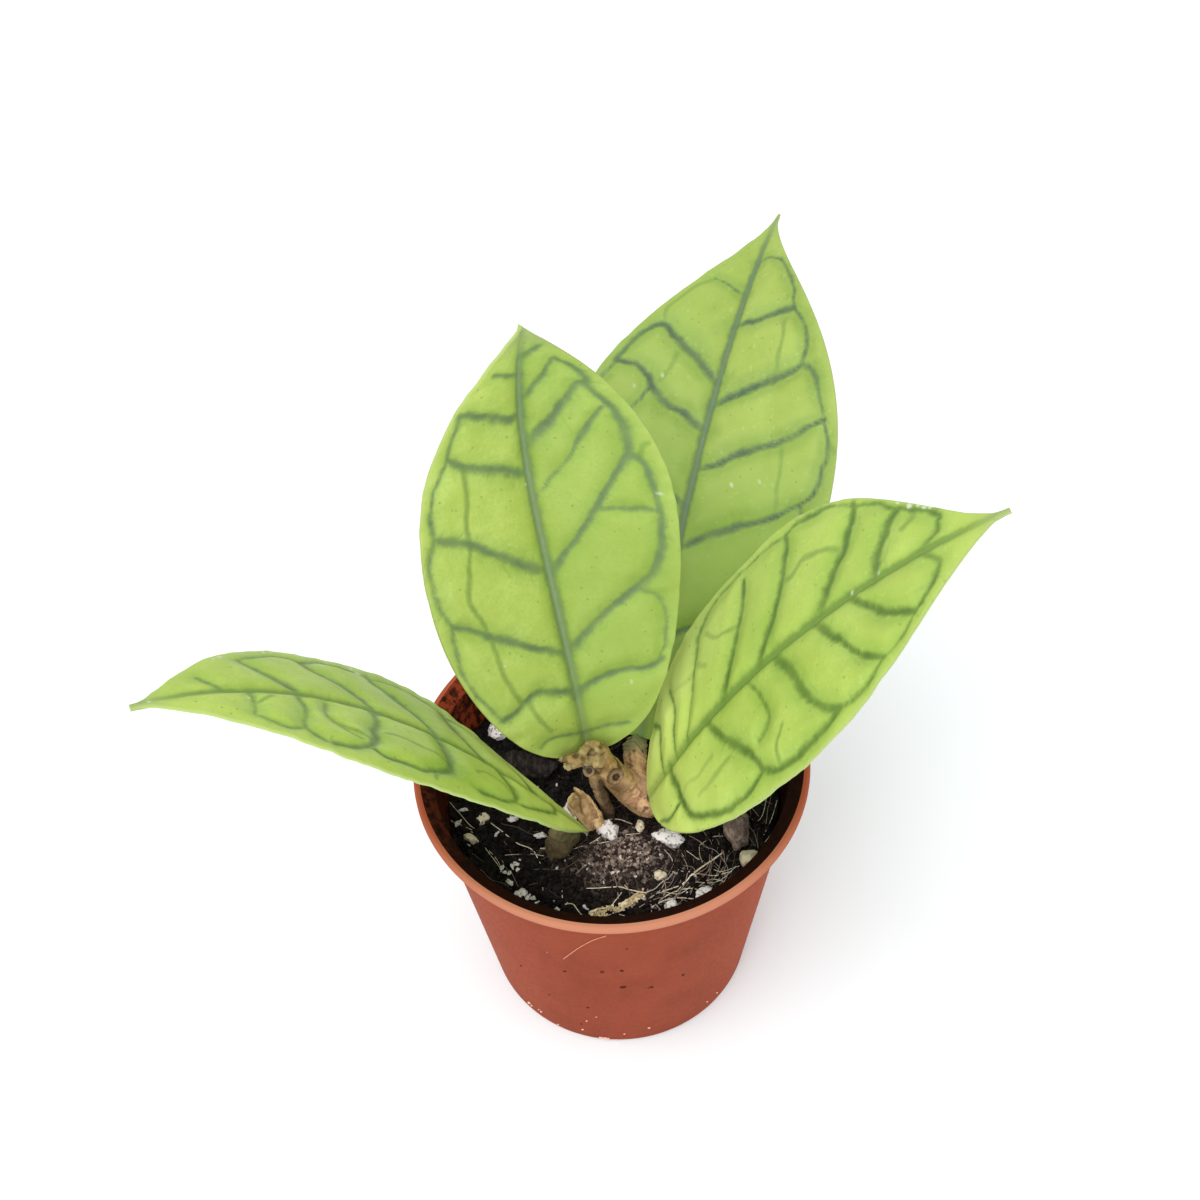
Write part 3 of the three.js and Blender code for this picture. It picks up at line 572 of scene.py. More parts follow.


# Leaves

# A leaf leaves its petiole at `base`, pointing along `heading` round Z and `rise` above level, rolled about
# its midrib. It bends, sweeps and twists along its length, more at the tip by the `late` values (degrees).
# Veins are drawn in leaf places: share of the length, then share of the half width, + left and - right.
# A fleck is a pale fleck of dried wax: leaf place and radius. Shade is painted shade on the left half, the
# right half and the base. The pale base is painted light on the first part of the leaf. The colours are two
# greens of the cells, the veins, the margin and the line along the midrib; from leaf to leaf they are partly
# each leaf's own tone and partly painted light and shade, lighter or darker for the light that each leaf
# gets.
leaves = {
    "leafA": {
        "node": "leaf_a", "colours": ("#b4c96a", "#a5bb58", "#647b54", "#c3d175", "#8fa37c"),
        "base": (-4.1, -1.6, 61.3), "heading": 112.5, "rise": 80.5, "roll": 1,
        "bend": 35.5, "lateBend": 72.5, "sweep": 4.5, "lateSweep": -2.8, "twist": 8.5,
        "length": 86.8, "width": 42.2, "widestAt": 0.5, "baseRound": 0.54, "shoulder": 2.46, "point": 0.99,
        "fold": (8.5, 27.5), "wave": (0.7, 0.7), "wavePhase": (0.3, 0.28),
        "shade": (0, 0.4, 0.1), "paintedLightAtBase": 0.1,
        "ribs": [
            [(.155, 0), (.185, .25), (.2, .4), (.197, .55), (.185, .7), (.18, .86)],
            [(.245, 0), (.285, .2), (.33, .42), (.385, .65), (.42, .78), (.435, .88)],
            [(.44, 0), (.535, .4), (.585, .58), (.61, .7), (.64, .87)],
            [(.66, 0), (.7, .25), (.73, .45), (.755, .62), (.785, .82)],
            [(.785, 0), (.835, .45), (.86, .75), (.865, .88)],
            [(.145, 0), (.165, -.12), (.185, -.35), (.195, -.55), (.2, -.8), (.21, -.9)],
            [(.25, 0), (.32, -.33), (.365, -.58), (.385, -.7), (.4, -.78), (.44, -.84), (.53, -.88),
             (.6, -.88), (.66, -.83), (.675, -.75)],
            [(.43, 0), (.5, -.24), (.565, -.43), (.63, -.61), (.68, -.75), (.74, -.82), (.78, -.83),
             (.85, -.78)],
            [(.715, 0), (.785, -.28), (.815, -.45), (.85, -.66), (.855, -.8)],
        ],
        "loops": [
            [(.6, 0), (.665, -.25), (.71, -.4), (.745, -.5), (.79, -.74)],
            [(.05, 0), (.065, .35), (.08, .6), (.07, .82)],
            [(.05, 0), (.065, -.4), (.07, -.75)],
            [(.18, .86), (.24, .93), (.33, .94), (.4, .92), (.435, .88)],
            [(.435, .88), (.48, .92), (.53, .93), (.6, .93), (.64, .87)],
            [(.64, .87), (.7, .91), (.75, .88), (.785, .82)],
            [(.785, .82), (.83, .88), (.865, .88)],
            [(.37, -.7), (.345, -.84), (.3, -.9), (.24, -.9), (.2, -.82)],
            [(.885, 0), (.905, .3), (.92, .6)],
            [(.82, 0), (.87, -.22), (.9, -.42), (.925, -.65)],
            [(.925, 0), (.945, -.25), (.955, -.5)],
            [(.855, -.8), (.89, -.84), (.925, -.7)],
            [(.565, -.43), (.56, -.6), (.54, -.88)],
        ],
        "threads": [
            [(.755, .62), (.69, .6), (.63, .6), (.59, .6)],
            [(.585, .58), (.52, .66), (.47, .7), (.42, .64), (.375, .62)],
            [(.37, .6), (.33, .62), (.28, .64), (.2, .6)],
            [(.1, .5), (.14, .56), (.195, .56)],
            [(.66, -.83), (.69, -.86), (.7, -.94)],
        ],
        "flecks": [(.58, -.9, .35), (.64, .04, .3), (.17, -.6, .25), (.3, .6, .2)],
    },
    "leafB": {
        "node": "leaf_b", "colours": ("#8da351", "#7b923f", "#4a6145", "#9cae5d", "#6f8468"),
        "base": (5.4, 5.2, 55.5), "heading": 69, "rise": 53.5, "roll": -0.5,
        "bend": -44, "lateBend": -11, "sweep": 2, "lateSweep": -0.6, "twist": -13.5,
        "length": 106.2, "width": 52.3, "widestAt": 0.45, "baseRound": 0.5, "shoulder": 2.15, "point": 1.64,
        "fold": (5.5, 9), "wave": (0.4, 0.4), "wavePhase": (0.07, 0.14),
        "shade": (0.36, 0.12, 0.6), "paintedLightAtBase": 0,
        "ribs": [
            [(.16, 0), (.2, .4), (.22, .85)],
            [(.28, 0), (.33, .4), (.36, .85)],
            [(.4, 0), (.45, .4), (.5, .85)],
            [(.535, 0), (.56, .2), (.575, .35), (.6, .5), (.615, .56), (.63, .7), (.64, .9)],
            [(.625, 0), (.68, .38), (.7, .57), (.72, .75), (.71, .85), (.69, .9), (.64, .92)],
            [(.16, 0), (.215, -.35), (.25, -.8)],
            [(.33, 0), (.345, -.1), (.375, -.35), (.39, -.5), (.41, -.68), (.43, -.82)],
            [(.465, 0), (.475, -.1), (.505, -.35), (.53, -.62), (.56, -.8), (.57, -.9)],
            [(.58, 0), (.62, -.33), (.645, -.58), (.66, -.74)],
            [(.735, 0), (.755, -.4), (.77, -.75)],
        ],
        "loops": [
            [(.08, 0), (.09, .25), (.1, .6)],
            [(.08, 0), (.09, -.25), (.1, -.5)],
            [(.8, 0), (.815, .35), (.825, .55), (.83, .7)],
            [(.87, 0), (.885, -.3), (.88, -.7)],
            [(.22, .85), (.29, .92), (.36, .85)],
            [(.36, .85), (.43, .92), (.5, .85)],
            [(.5, .85), (.57, .93), (.64, .9)],
            [(.77, -.75), (.745, -.83), (.71, -.84), (.68, -.79), (.66, -.74)],
            [(.66, -.74), (.65, -.84), (.61, -.88), (.57, -.9)],
            [(.57, -.9), (.53, -.93), (.49, -.92), (.45, -.88), (.43, -.82)],
            [(.77, -.75), (.81, -.84), (.85, -.86), (.88, -.72)],
            [(.25, -.8), (.33, -.9), (.43, -.82)],
            [(.605, .5), (.575, .54), (.54, .62)],
        ],
        "threads": [
            [(.83, .7), (.8, .86), (.76, .88), (.735, .82), (.72, .75)],
            [(.405, -.66), (.47, -.62), (.53, -.6)],
            [(.63, -.48), (.69, -.55), (.74, -.6)],
            [(.6, .47), (.63, .42), (.665, .42)],
            [(.53, -.93), (.52, -.98)],
        ],
        "flecks": [(.446, -.3, .45), (.46, -.5, .25), (.455, -.54, .25), (.55, -.86, .3), (.68, .18, .2),
                   (.62, .45, .25), (.59, .62, .25), (.75, .6, .2), (.4, -.2, .2)],
    },
    "leafC": {
        "node": "leaf_c", "colours": ("#a5bc5c", "#94ad4c", "#54702f", "#b1c464", "#7d9a48"),
        "base": (6.1, -8.1, 56.0), "heading": -3.5, "rise": 68.5, "roll": 3,
        "bend": -31.5, "lateBend": -15, "sweep": -4.5, "lateSweep": -0.2, "twist": -6,
        "length": 85.8, "width": 42.9, "widestAt": 0.52, "baseRound": 0.53, "shoulder": 2.27, "point": 1.66,
        "fold": (6, -5), "wave": (0.6, 0.3), "wavePhase": (-0.07, 0.15),
        "shade": (0.15, 0.05, 0), "paintedLightAtBase": 0.6,
        "ribs": [
            [(.33, 0), (.38, .25), (.41, .45), (.44, .65), (.45, .85)],
            [(.45, 0), (.5, .22), (.535, .42), (.56, .62), (.575, .8), (.57, .9)],
            [(.615, 0), (.66, .22), (.695, .45), (.72, .68), (.735, .9)],
            [(.745, 0), (.775, .35), (.795, .6), (.815, .85)],
            [(.11, 0), (.12, -.25), (.13, -.4), (.14, -.57), (.16, -.72), (.205, -.85), (.3, -.92),
             (.37, -.88), (.415, -.8)],
            [(.27, 0), (.32, -.28), (.365, -.48), (.41, -.68), (.425, -.78), (.465, -.87), (.53, -.9),
             (.6, -.87), (.64, -.85)],
            [(.495, 0), (.53, -.2), (.55, -.38), (.57, -.55), (.6, -.7), (.64, -.85)],
            [(.605, 0), (.64, -.2), (.67, -.38), (.7, -.58), (.74, -.84)],
            [(.69, 0), (.73, -.25), (.77, -.5), (.8, -.7), (.815, -.82)],
        ],
        "loops": [
            [(.19, 0), (.235, .33), (.25, .5), (.28, .67), (.29, .8)],
            [(.08, 0), (.09, .4), (.1, .65), (.08, .9)],
            [(.14, 0), (.15, .3), (.17, .5), (.17, .8)],
            [(.29, .8), (.34, .9), (.4, .93), (.5, .93), (.57, .9), (.63, .93), (.7, .93), (.735, .88),
             (.78, .92), (.815, .85)],
            [(.14, -.57), (.1, -.7), (.07, -.8), (.04, -.95)],
            [(.41, 0), (.445, -.2), (.465, -.4), (.455, -.5), (.43, -.58)],
            [(.84, 0), (.875, .3), (.885, .6), (.88, .85), (.815, .88)],
            [(.84, 0), (.865, -.25), (.87, -.55), (.84, -.8), (.815, -.82)],
            [(.64, -.85), (.68, -.9), (.71, -.9), (.74, -.84)],
            [(.74, -.84), (.775, -.9), (.8, -.88), (.815, -.8)],
        ],
        "threads": [
            [(.535, .45), (.56, .5), (.58, .47), (.62, .55), (.68, .52), (.69, .42)],
            [(.26, .55), (.21, .6), (.17, .78)],
            [(.27, .58), (.31, .44)],
            [(.42, .5), (.36, .56), (.33, .7)],
            [(.845, .92), (.835, .6), (.82, .45)],
            [(.14, -.55), (.19, -.48), (.24, -.44), (.28, -.4)],
            [(.22, -.66), (.28, -.59), (.34, -.52)],
            [(.47, -.87), (.48, -.7), (.5, -.62)],
        ],
        "flecks": [(.84, .95, .6), (.855, .97, .5), (.865, .95, .5), (.875, .97, .4), (.82, .96, .3),
                   (.76, .05, .25), (.7, .02, .2), (.715, -.05, .2)],
    },
    "leafD": {
        "node": "leaf_d", "colours": ("#acc756", "#9dbb49", "#617e3b", "#b6c864", "#7f9a4c"),
        "base": (-4.5, -13.7, 54.8), "heading": 169.5, "rise": 47, "roll": 43,
        "bend": -44.5, "lateBend": -49, "sweep": 18, "lateSweep": 2.5, "twist": 4.5,
        "length": 84.1, "width": 41.1, "widestAt": 0.55, "baseRound": 0.94, "shoulder": 2.18, "point": 1.42,
        "fold": (-7, 4), "wave": (0.2, 0.8), "wavePhase": (-0.2, 0.64), "neck": 0.35,
        "shade": (0, 0.1, 0), "paintedLightAtBase": 0.9,
        "ribs": [
            [(.26, 0), (.245, .35), (.25, .6), (.27, .72), (.31, .8), (.38, .82)],
            [(.415, 0), (.41, .3), (.425, .55), (.44, .65), (.48, .74), (.53, .8), (.59, .78), (.615, .68)],
            [(.55, 0), (.58, .35), (.61, .62), (.66, .78), (.7, .84)],
            [(.15, 0), (.165, -.45), (.19, -.75)],
            [(.28, 0), (.31, -.4), (.33, -.65), (.335, -.8)],
            [(.4, 0), (.44, -.4), (.485, -.7), (.495, -.85)],
            [(.545, 0), (.58, -.35), (.605, -.5), (.63, -.65), (.64, -.8)],
            [(.7, 0), (.74, -.4), (.77, -.75)],
        ],
        "loops": [
            [(.1, 0), (.11, .3), (.14, .55), (.19, .65)],
            [(.71, 0), (.72, .35), (.745, .7), (.72, .86)],
            [(.66, .1), (.675, .3), (.665, .45), (.63, .58)],
            [(.8, .02), (.81, .4), (.82, .65)],
            [(.745, .7), (.78, .8), (.82, .65)],
            [(.19, .65), (.24, .74), (.27, .72)],
            [(.84, 0), (.86, -.3), (.87, -.55)],
            [(.19, -.75), (.27, -.82), (.335, -.75)],
            [(.335, -.78), (.42, -.88), (.49, -.82)],
            [(.495, -.84), (.57, -.88), (.64, -.78)],
            [(.64, -.8), (.7, -.86), (.77, -.75)],
        ],
        "threads": [
            [(.42, .5), (.5, .45), (.56, .4)],
            [(.6, .55), (.66, .45)],
            [(.25, .5), (.32, .42), (.36, .5)],
            [(.14, .4), (.19, .3)],
            [(.48, .74), (.5, .9)],
            [(.8, .3), (.77, .2)],
        ],
        "flecks": [(.5, -.78, .5), (.51, -.86, .6), (.52, -.93, .5), (.53, -.8, .35), (.48, .76, .4),
                   (.81, .22, .35), (.8, -.93, .5), (.815, -.9, .4), (.7, -.96, .5),
                   (.685, -.95, .4), (.97, .2, .4)],
    },
}

blade = {
    "rows": 236,
    "columns": 91,
    "steps": 80,
    "waves": 1.7,  # margin waves along the leaf
    "neckHalf": 1.0,
    "tipHalf": 0.3,
    "neckLength": 0.08,
    "swelling": 0.7,  # height of the leaf between its veins
    "swellingFrom": 2.1,  # distance from a vein at which it has mostly risen
    "veinDip": 0.1,
    "veinDipWidth": 0.5,
    "dimples": 0.06,
    "groove": 0.28,
    "grooveWidth": 0.9,
    "frill": 0.12,  # small waves of the margin
    "wobble": 0.35,  # how far veins stray from their smooth lines
    "tipThinning": 0.5,
    "leastThickness": 0.6,
    "thicknessAt": (0, 0.06, 0.17, 0.35, 0.53, 0.71, 0.83, 0.92, 1),
    "thickness": (2, 1.5, 1.2, 1.05, 0.95, 0.9, 0.85, 0.8, 0.7),
    "edgeRound": 0.3,
    "ribWidth": 1.15,
    "loopWidth": 0.8,
    "threadWidth": 0.5,
    "midribWidth": (1.3, 0.65),  # half widths at the base and the tip
}


def midrib(leaf):
    # stations along the leaf: at each the frame turns by the bend, sweep and twist that fall to one step
    heading, rise, roll = np.radians([leaf["heading"], leaf["rise"], leaf["roll"]])
    level = math.cos(rise)
    forward = np.array([math.cos(heading) * level, math.sin(heading) * level, math.sin(rise)])
    level = np.array([-math.sin(heading), math.cos(heading), 0])
    across = level * math.cos(roll) + np.cross(forward, level) * math.sin(roll)
    place = np.array(leaf["base"], float)
    share = 1 / blade["steps"]
    stations = []
    for i in range(blade["steps"] + 1):
        normal = np.cross(forward, across)
        stations.append((place, across, normal))
        late = 2 * (i + 0.5) * share - 1
        bend = math.radians(leaf["bend"] + leaf["lateBend"] * late) * share
        sweep = math.radians(leaf["sweep"] + leaf["lateSweep"] * late) * share
        twist = math.radians(leaf["twist"]) * share
        turned = forward + normal * bend + across * sweep
        turned /= np.linalg.norm(turned)
        tipped = across - forward * sweep + normal * twist
        tipped -= turned * (tipped @ turned)
        tipped /= np.linalg.norm(tipped)
        place = place + (forward + turned) * leaf["length"] * share / 2
        forward, across = turned, tipped
    return [np.array(part) for part in zip(*stations)]


def outlineShare(leaf, u):
    # half width over the widest: an ellipse up to the widest place, then a curve drawn out to the tip
    back = np.clip((leaf["widestAt"] - u) / leaf["widestAt"], 0, 1)
    ahead = np.clip((u - leaf["widestAt"]) / (1 - leaf["widestAt"]), 0, 1)
    towardsBase = (1 - back ** 2) ** leaf["baseRound"]
    return np.where(u < leaf["widestAt"], towardsBase, (1 - ahead ** leaf["shoulder"]) ** leaf["point"])


def halfWidth(leaf, u):
    # half the leaf's width times the outline's share, kept open at neck and tip: root of the sum of squares
    ends = leaf.get("neck", 1.0) * blade["neckHalf"] * (1 - u) + blade["tipHalf"] * u
    return np.hypot(leaf["width"] / 2 * outlineShare(leaf, u), ends)


def nearestOn(curve, leaf, x, y):
    # distance in millimetres from each place of the flattened leaf to a vein, and how far along the vein
    line, _ = smoothLine([(v, u, 0) for u, v in curve], 4)
    u, v = line[:, 1], line[:, 0]
    px, py = v * halfWidth(leaf, np.clip(u, 0, 1)), u * leaf["length"]
    best = np.full(x.shape, 1e6)
    along = np.zeros(x.shape)
    for k in range(len(px) - 1):
        dx, dy = px[k + 1] - px[k], py[k + 1] - py[k]
        t = np.clip(((x - px[k]) * dx + (y - py[k]) * dy) / (dx * dx + dy * dy + 1e-9), 0, 1)
        gap = np.hypot(x - px[k] - t * dx, y - py[k] - t * dy)
        closer = gap < best
        best = np.where(closer, gap, best)
        along = np.where(closer, (k + t) / (len(px) - 1), along)
    return best, along


def leafShape(leaf, seed):
    # Upper face: midrib place + across * half width * v + normal * (fold + margin wave + swelling between
    # veins - furrow). The lower face lies the thickness below it.
    # rows lie closer together near neck and tip, and three more columns lie along each margin
    s = np.linspace(0, 1, blade["rows"])[:, None]
    u = 0.45 * s + 0.55 * (0.5 - 0.5 * np.cos(math.pi * s))
    edge = np.array([0.982, 0.991, 0.996])
    inner = np.linspace(-0.972, 0.972, blade["columns"])
    v = np.concatenate([[-1], -edge[::-1], inner, edge, [1]])[None, :]
    u, v = np.broadcast_arrays(u, v)
    share = outlineShare(leaf, u)
    half = halfWidth(leaf, u)
    a = np.abs(v)
    left = v >= 0
    x, y = v * half, u * leaf["length"]
    wobble = blade["wobble"] * ease(0, 3.0, np.abs(x))
    warpX = x + wobble * flatNoise(x, y, 4.0, 2, seed)
    warpY = y + wobble * flatNoise(x, y, 4.0, 2, seed + 5)
    uneven = 1 + 0.3 * flatNoise(x, y, 5.0, 1, seed + 9)
    patchy = flatNoise(x, y, 9.0, 1, seed + 12)

    # distances to veins, in vein widths; loops count as narrower and fainter ribs
    ribs, threads, nearest = [np.full(u.shape, 4.0) for _ in range(3)]
    for curve in leaf["ribs"]:
        gap, along = nearestOn(curve, leaf, warpX, warpY)
        ribs = np.minimum(ribs, gap / (blade["ribWidth"] * (1 - 0.25 * along) * uneven))
        nearest = np.minimum(nearest, gap)
    for curve in leaf["loops"]:
        gap, _ = nearestOn(curve, leaf, warpX, warpY)
        ribs = np.minimum(ribs, 0.26 + 0.2 * patchy + gap / (blade["loopWidth"] * uneven))
        nearest = np.minimum(nearest, gap + 0.4)
    for curve in leaf["threads"]:
        gap, _ = nearestOn(curve, leaf, warpX, warpY)
        threads = np.minimum(threads, gap / (blade["threadWidth"] * uneven))
    nearest = np.minimum(nearest, np.abs(x) + 0.2)
    fleck = np.zeros(u.shape)
    for at, across, radius in leaf["flecks"]:
        gap = np.hypot(x - across * halfWidth(leaf, at), y - at * leaf["length"]) / radius
        fleck = np.maximum(fleck, 0.9 * (1 - ease(0.5, 1.1, gap + 0.3 * flatNoise(x, y, 0.6, 1, seed + 4))))

    # height of the upper face over the folded blade, and the thickness
    fullness = np.minimum(1, 1.5 * share)
    fromEdge = half * (1 - a)
    cell = 1 - np.exp(-(nearest / blade["swellingFrom"]) ** 2)
    puffed = blade["swelling"] * fullness * cell * (0.25 + 0.75 * ease(0, 4.0, fromEdge))
    puffed = puffed - blade["veinDip"] * np.exp(-(nearest / blade["veinDipWidth"]) ** 2) * fullness
    puffed = puffed + blade["dimples"] * flatNoise(x, y, 3.0, 3, seed + 2)
    furrow = blade["groove"] * fullness * np.exp(-(x / blade["grooveWidth"]) ** 2)
    fold = np.radians(np.where(left, leaf["fold"][0], leaf["fold"][1]))
    wave = np.where(left, leaf["wave"][0], leaf["wave"][1])
    phase = np.where(left, leaf["wavePhase"][0], leaf["wavePhase"][1])
    waving = wave * a ** 2 * share * np.sin(2 * math.pi * (blade["waves"] * u + phase))
    frill = blade["frill"] * ease(3.0, 0, fromEdge) * flatNoise(y + 40 * left, 0 * y, 2.4, 2, seed + 6)
    reach = half * a
    height = reach * np.sin(fold) + waving + puffed - furrow + frill
    thickness = np.interp(a, blade["thicknessAt"], blade["thickness"]) * (1 - blade["tipThinning"] * u ** 3)
    thickness = np.maximum(blade["leastThickness"], thickness)
    neck = leaf.get("neck", 1.0)
    thickness = thickness * (neck + (1 - neck) * ease(0, blade["neckLength"], u))
    inset = np.clip(1 - fromEdge / blade["edgeRound"], 0, 1)
    rounding = 0.8 * blade["edgeRound"] * (1 - np.sqrt(1 - inset ** 2))

    # the frame at each place of the midrib carries the blade
    places, acrosses, normals = midrib(leaf)
    at = np.linspace(0, 1, blade["steps"] + 1)
    place, across, normal = [
        np.stack([np.interp(u, at, part[:, k]) for k in range(3)], -1) for part in (places, acrosses, normals)
    ]
    across /= np.linalg.norm(across, axis=-1, keepdims=True)
    normal /= np.linalg.norm(normal, axis=-1, keepdims=True)
    flat = place + across * (np.sign(v) * reach * np.cos(fold))[..., None]
    upper = flat + normal * (height - rounding)[..., None]
    lower = flat + normal * (height - thickness + rounding)[..., None]
    wide, narrow = blade["midribWidth"]
    # painted shade: the left half, the right half and the base darker by their shares
    leftShade, rightShade, baseShade = leaf["shade"]
    shade = rightShade + (leftShade - rightShade) * ease(-4, 4, x) + baseShade * ease(0.6, 0.3, u)
    marks = {
        "rib": ribs,
        "thread": threads,
        "middle": np.minimum(4, np.abs(x) / (wide + (narrow - wide) * u)),
        "along": u,
        "shade": np.clip(shade, 0, 1),
        # painted light: the first part of the leaf lighter
        "pale": leaf["paintedLightAtBase"] * ease(0.42, 0.08, u),
        "edge": np.minimum(6, fromEdge),
        "fleck": fleck,
        "flat": np.stack([x, y, 0 * x], -1) * mm,
    }
    return plate(upper, lower, marks)


# Pot

pot = {
    "rimRadius": 35, "height": 58.4, "baseRadius": 26.2, "bandHeight": 1.4, "bandStep": 2.4,
    "rimRound": 0.3, "rimLand": 1.1, "wall": 1.1, "floor": 1.5, "footRound": 0.8, "innerFootRound": 1,
    "drainHoles": 6, "drainRadius": 2.5, "drainCircle": 15, "drainSides": 28,
    "sides": 240,
    "cut": 0.06,  # a row this close to each end of a straight run keeps its shading flat
    "shortRun": 0.45,  # runs below this length get no cuts
    "longRun": 12,  # runs above it get rows all along
    "longRows": 16,
}


def wallRadius(z):
    # outside of the wall: from the foot's radius to the shoulder's in proportion to the height
    shoulder = pot["height"] - pot["bandHeight"]
    return pot["baseRadius"] + (pot["rimRadius"] - pot["bandStep"] - pot["baseRadius"]) * z / shoulder


def potShape():
    # the wall's section turned about Z; its straight runs have extra rows so that the shading stays even
    h, band, rimRound = pot["height"], pot["bandHeight"], pot["rimRound"]
    shoulder = h - band
    rim, wall, floor, foot = pot["rimRadius"], pot["wall"], pot["floor"], pot["innerFootRound"]
    corners = [
        (pot["baseRadius"] - pot["footRound"], 0), (wallRadius(pot["footRound"]), pot["footRound"]),
        (wallRadius(shoulder), shoulder), (rim - rimRound, shoulder), (rim, shoulder + rimRound),
        (rim, h - 2 * rimRound), (rim - rimRound, h - rimRound / 2), (rim - 2 * rimRound, h),
        (rim - pot["rimLand"], h), (wallRadius(shoulder) - wall, shoulder - rimRound),
        (wallRadius(floor) - wall, floor + foot), (wallRadius(floor) - wall - foot, floor),
    ]
    section = [(0.0, 0.0)]
    for (r0, z0), (r1, z1) in zip([(1.0, 0.0)] + corners, corners + [(1.0, floor)]):
        length = math.hypot(r1 - r0, z1 - z0)
        cut = pot["cut"] / length
        cuts = [0.0] if length < pot["shortRun"] else [0.0, cut, 0.5, 1 - cut]
        if length > pot["longRun"]:
            cuts = [0.0, cut, *np.linspace(0.05, 0.95, pot["longRows"]), 1 - cut]
        section += [(r0 + (r1 - r0) * c, z0 + (z1 - z0) * c) for c in cuts]
    section = np.array(section[1:] + [(1.0, floor)])
    turn = np.linspace(0, 2 * math.pi, pot["sides"], endpoint=False)
    r, z = section[:, :1], section[:, 1:]
    skin = np.stack([r * np.cos(turn), r * np.sin(turn), z + 0 * turn], -1)
    points = np.vstack([skin.reshape(-1, 3), [[0, 0, 0], [0, 0, floor]]])
    x, y, z = points.T
    reach = np.maximum(1, np.hypot(x, y))
    within = np.where(z > shoulder - rimRound - 0.01, rim - pot["rimLand"] - 0.02, wallRadius(z) - 0.5 * wall)
    marks = {
        "inside": ((reach < within) & (z > 0.5 * floor)).astype(float),
        "rim": ease(shoulder - 0.2, shoulder + 0.3, z),
        # painted light on the rim, strongest at the front
        "paintedLipLight": ease(0.3, 0.98, -y / reach),
        # painted light on the sides of the wall, the right side most
        "sides": 0.9 * ease(0.4, 0.95, x / reach) + 0.5 * ease(0.4, 0.95, -x / reach),
        # peat on the inside and painted shade, darker towards the front
        "dirtAndShade": 0.97 * ease(14, -4, y) * (1 - 0.3 * ease(0.75, 0.97, -x / reach)),
    }
    return points, shellFaces(len(section), pot["sides"], True), marks


# What clings to the wall: crumbs of soil, dust at the foot and one pale hair
onWall = {
    # crumbs and dust: x, height, radius
    "crumbs": [(-10.1, 32.9, 0.32), (-3.5, 35.5, 0.4), (-0.1, 36.1, 0.4), (-0.1, 28.4, 0.55),
               (0.3, 28.5, 0.3), (5.0, 26.6, 0.34), (4.5, 26.4, 0.2), (10.8, 27.6, 0.34),
               (-6.7, 17.0, 0.28), (-13.8, 17.5, 0.24), (0.9, 45.5, 0.22), (-8.3, 7.1, 0.26),
               (-18.5, 24.8, 0.2)],
    "dust": [(-4.0, 1.3, 0.55), (-4.7, 1.4, 0.42), (-3.4, 1.2, 0.36), (-1.8, 0.7, 0.26), (-18.5, 3.8, 0.42),
             (-18.1, 3.2, 0.28), (-16.2, 4.0, 0.38), (-16.7, 4.1, 0.22), (-8.2, 4.1, 0.26), (-7.2, 9.5, 0.22),
             (4.5, 5.5, 0.3), (18.3, 4.5, 0.24), (16.2, 4.5, 0.24), (-13.0, 1.8, 0.22), (-5.3, 12.6, 0.18),
             (-0.2, 3.9, 0.2), (-12.8, 39.5, 0.16)],
    "hair": [(-2.4, 51.4), (-4.4, 49.6), (-6.9, 45.8), (-10.1, 38.8)],
    "hairRadius": 0.07,
    "hairOut": 0.08,  # from the wall to the middle of the hair
}


def wallPlace(x, z, out):
    # the place on the front of the wall at this x and height, moved outwards
    radius = wallRadius(z) + out
    return x, -math.sqrt(radius ** 2 - x ** 2), z


def drillDrains(wallObject):
    # takes the round drain holes out of the floor
    drills = []
    for k in range(pot["drainHoles"]):
        turn = 2 * math.pi * k / pot["drainHoles"]
        x, y = pot["drainCircle"] * math.cos(turn), pot["drainCircle"] * math.sin(turn)
        heights = (-2 * pot["floor"], 1, 4 * pot["floor"])  # from below the floor to above it
        drill = [(x, y, z, pot["drainRadius"]) for z in heights]
        drills.append(tube(drill, sides=pot["drainSides"], steps=1))
    cutter = meshObject("drills", joined(drills), None)
    cut = wallObject.modifiers.new("drains", "BOOLEAN")
    cut.operation = "DIFFERENCE"
    cut.object = cutter
    cut.solver = "EXACT"
    graph = bpy.context.evaluated_depsgraph_get()
    drilled = bpy.data.meshes.new_from_object(wallObject.evaluated_get(graph))
    wallObject.modifiers.clear()
    wallObject.data = drilled
    bpy.data.objects.remove(cutter)


# Soil

soil = {
    "level": 47.3,
    "mound": ((3, -17), (11, 9), 2.4),
    "hollow": ((-20, -4), (11, 14), -2.6),
    "clodRise": 0.45,
    "crumbRise": 0.3,
    "dryPlace": (1.5, -15.5),
    "drySize": (9.0, 6.5),
    "wallGap": 0.3,
    "floorGap": 0.3,
    "footGap": 1.4,
    "rings": 130,
    "sides": 300,
    "crumbs": 5600,
    "crumbGap": 1.0,  # from the wall
    "crumbShare": 0.42,  # of the crumbs lie on the dry mound
    "crumbSpread": (6.0, 4.4),
    "paleCrumbs": 0.012,
    "crumbSize": (0.22, 0.5),  # the least radius, and how much is added for the largest
    "dryShrink": 0.35,  # share by which crumbs are smaller on the dry mound
    "crumbTone": (0.06, 0.28),  # the darkest tone, and how much is added for the lightest
    "dryTone": (0.22, 0.48),  # the same, added on the dry mound
    "fibreReach": 29.6,  # no fibre ends farther out
    "seed": 11,
}


def swellAt(x, y, spot):
    # rise * e^(-(distance / size)^2), with a size of its own along each axis
    (cx, cy), (sx, sy), rise = spot
    return rise * np.exp(-((x - cx) / sx) ** 2 - ((y - cy) / sy) ** 2)


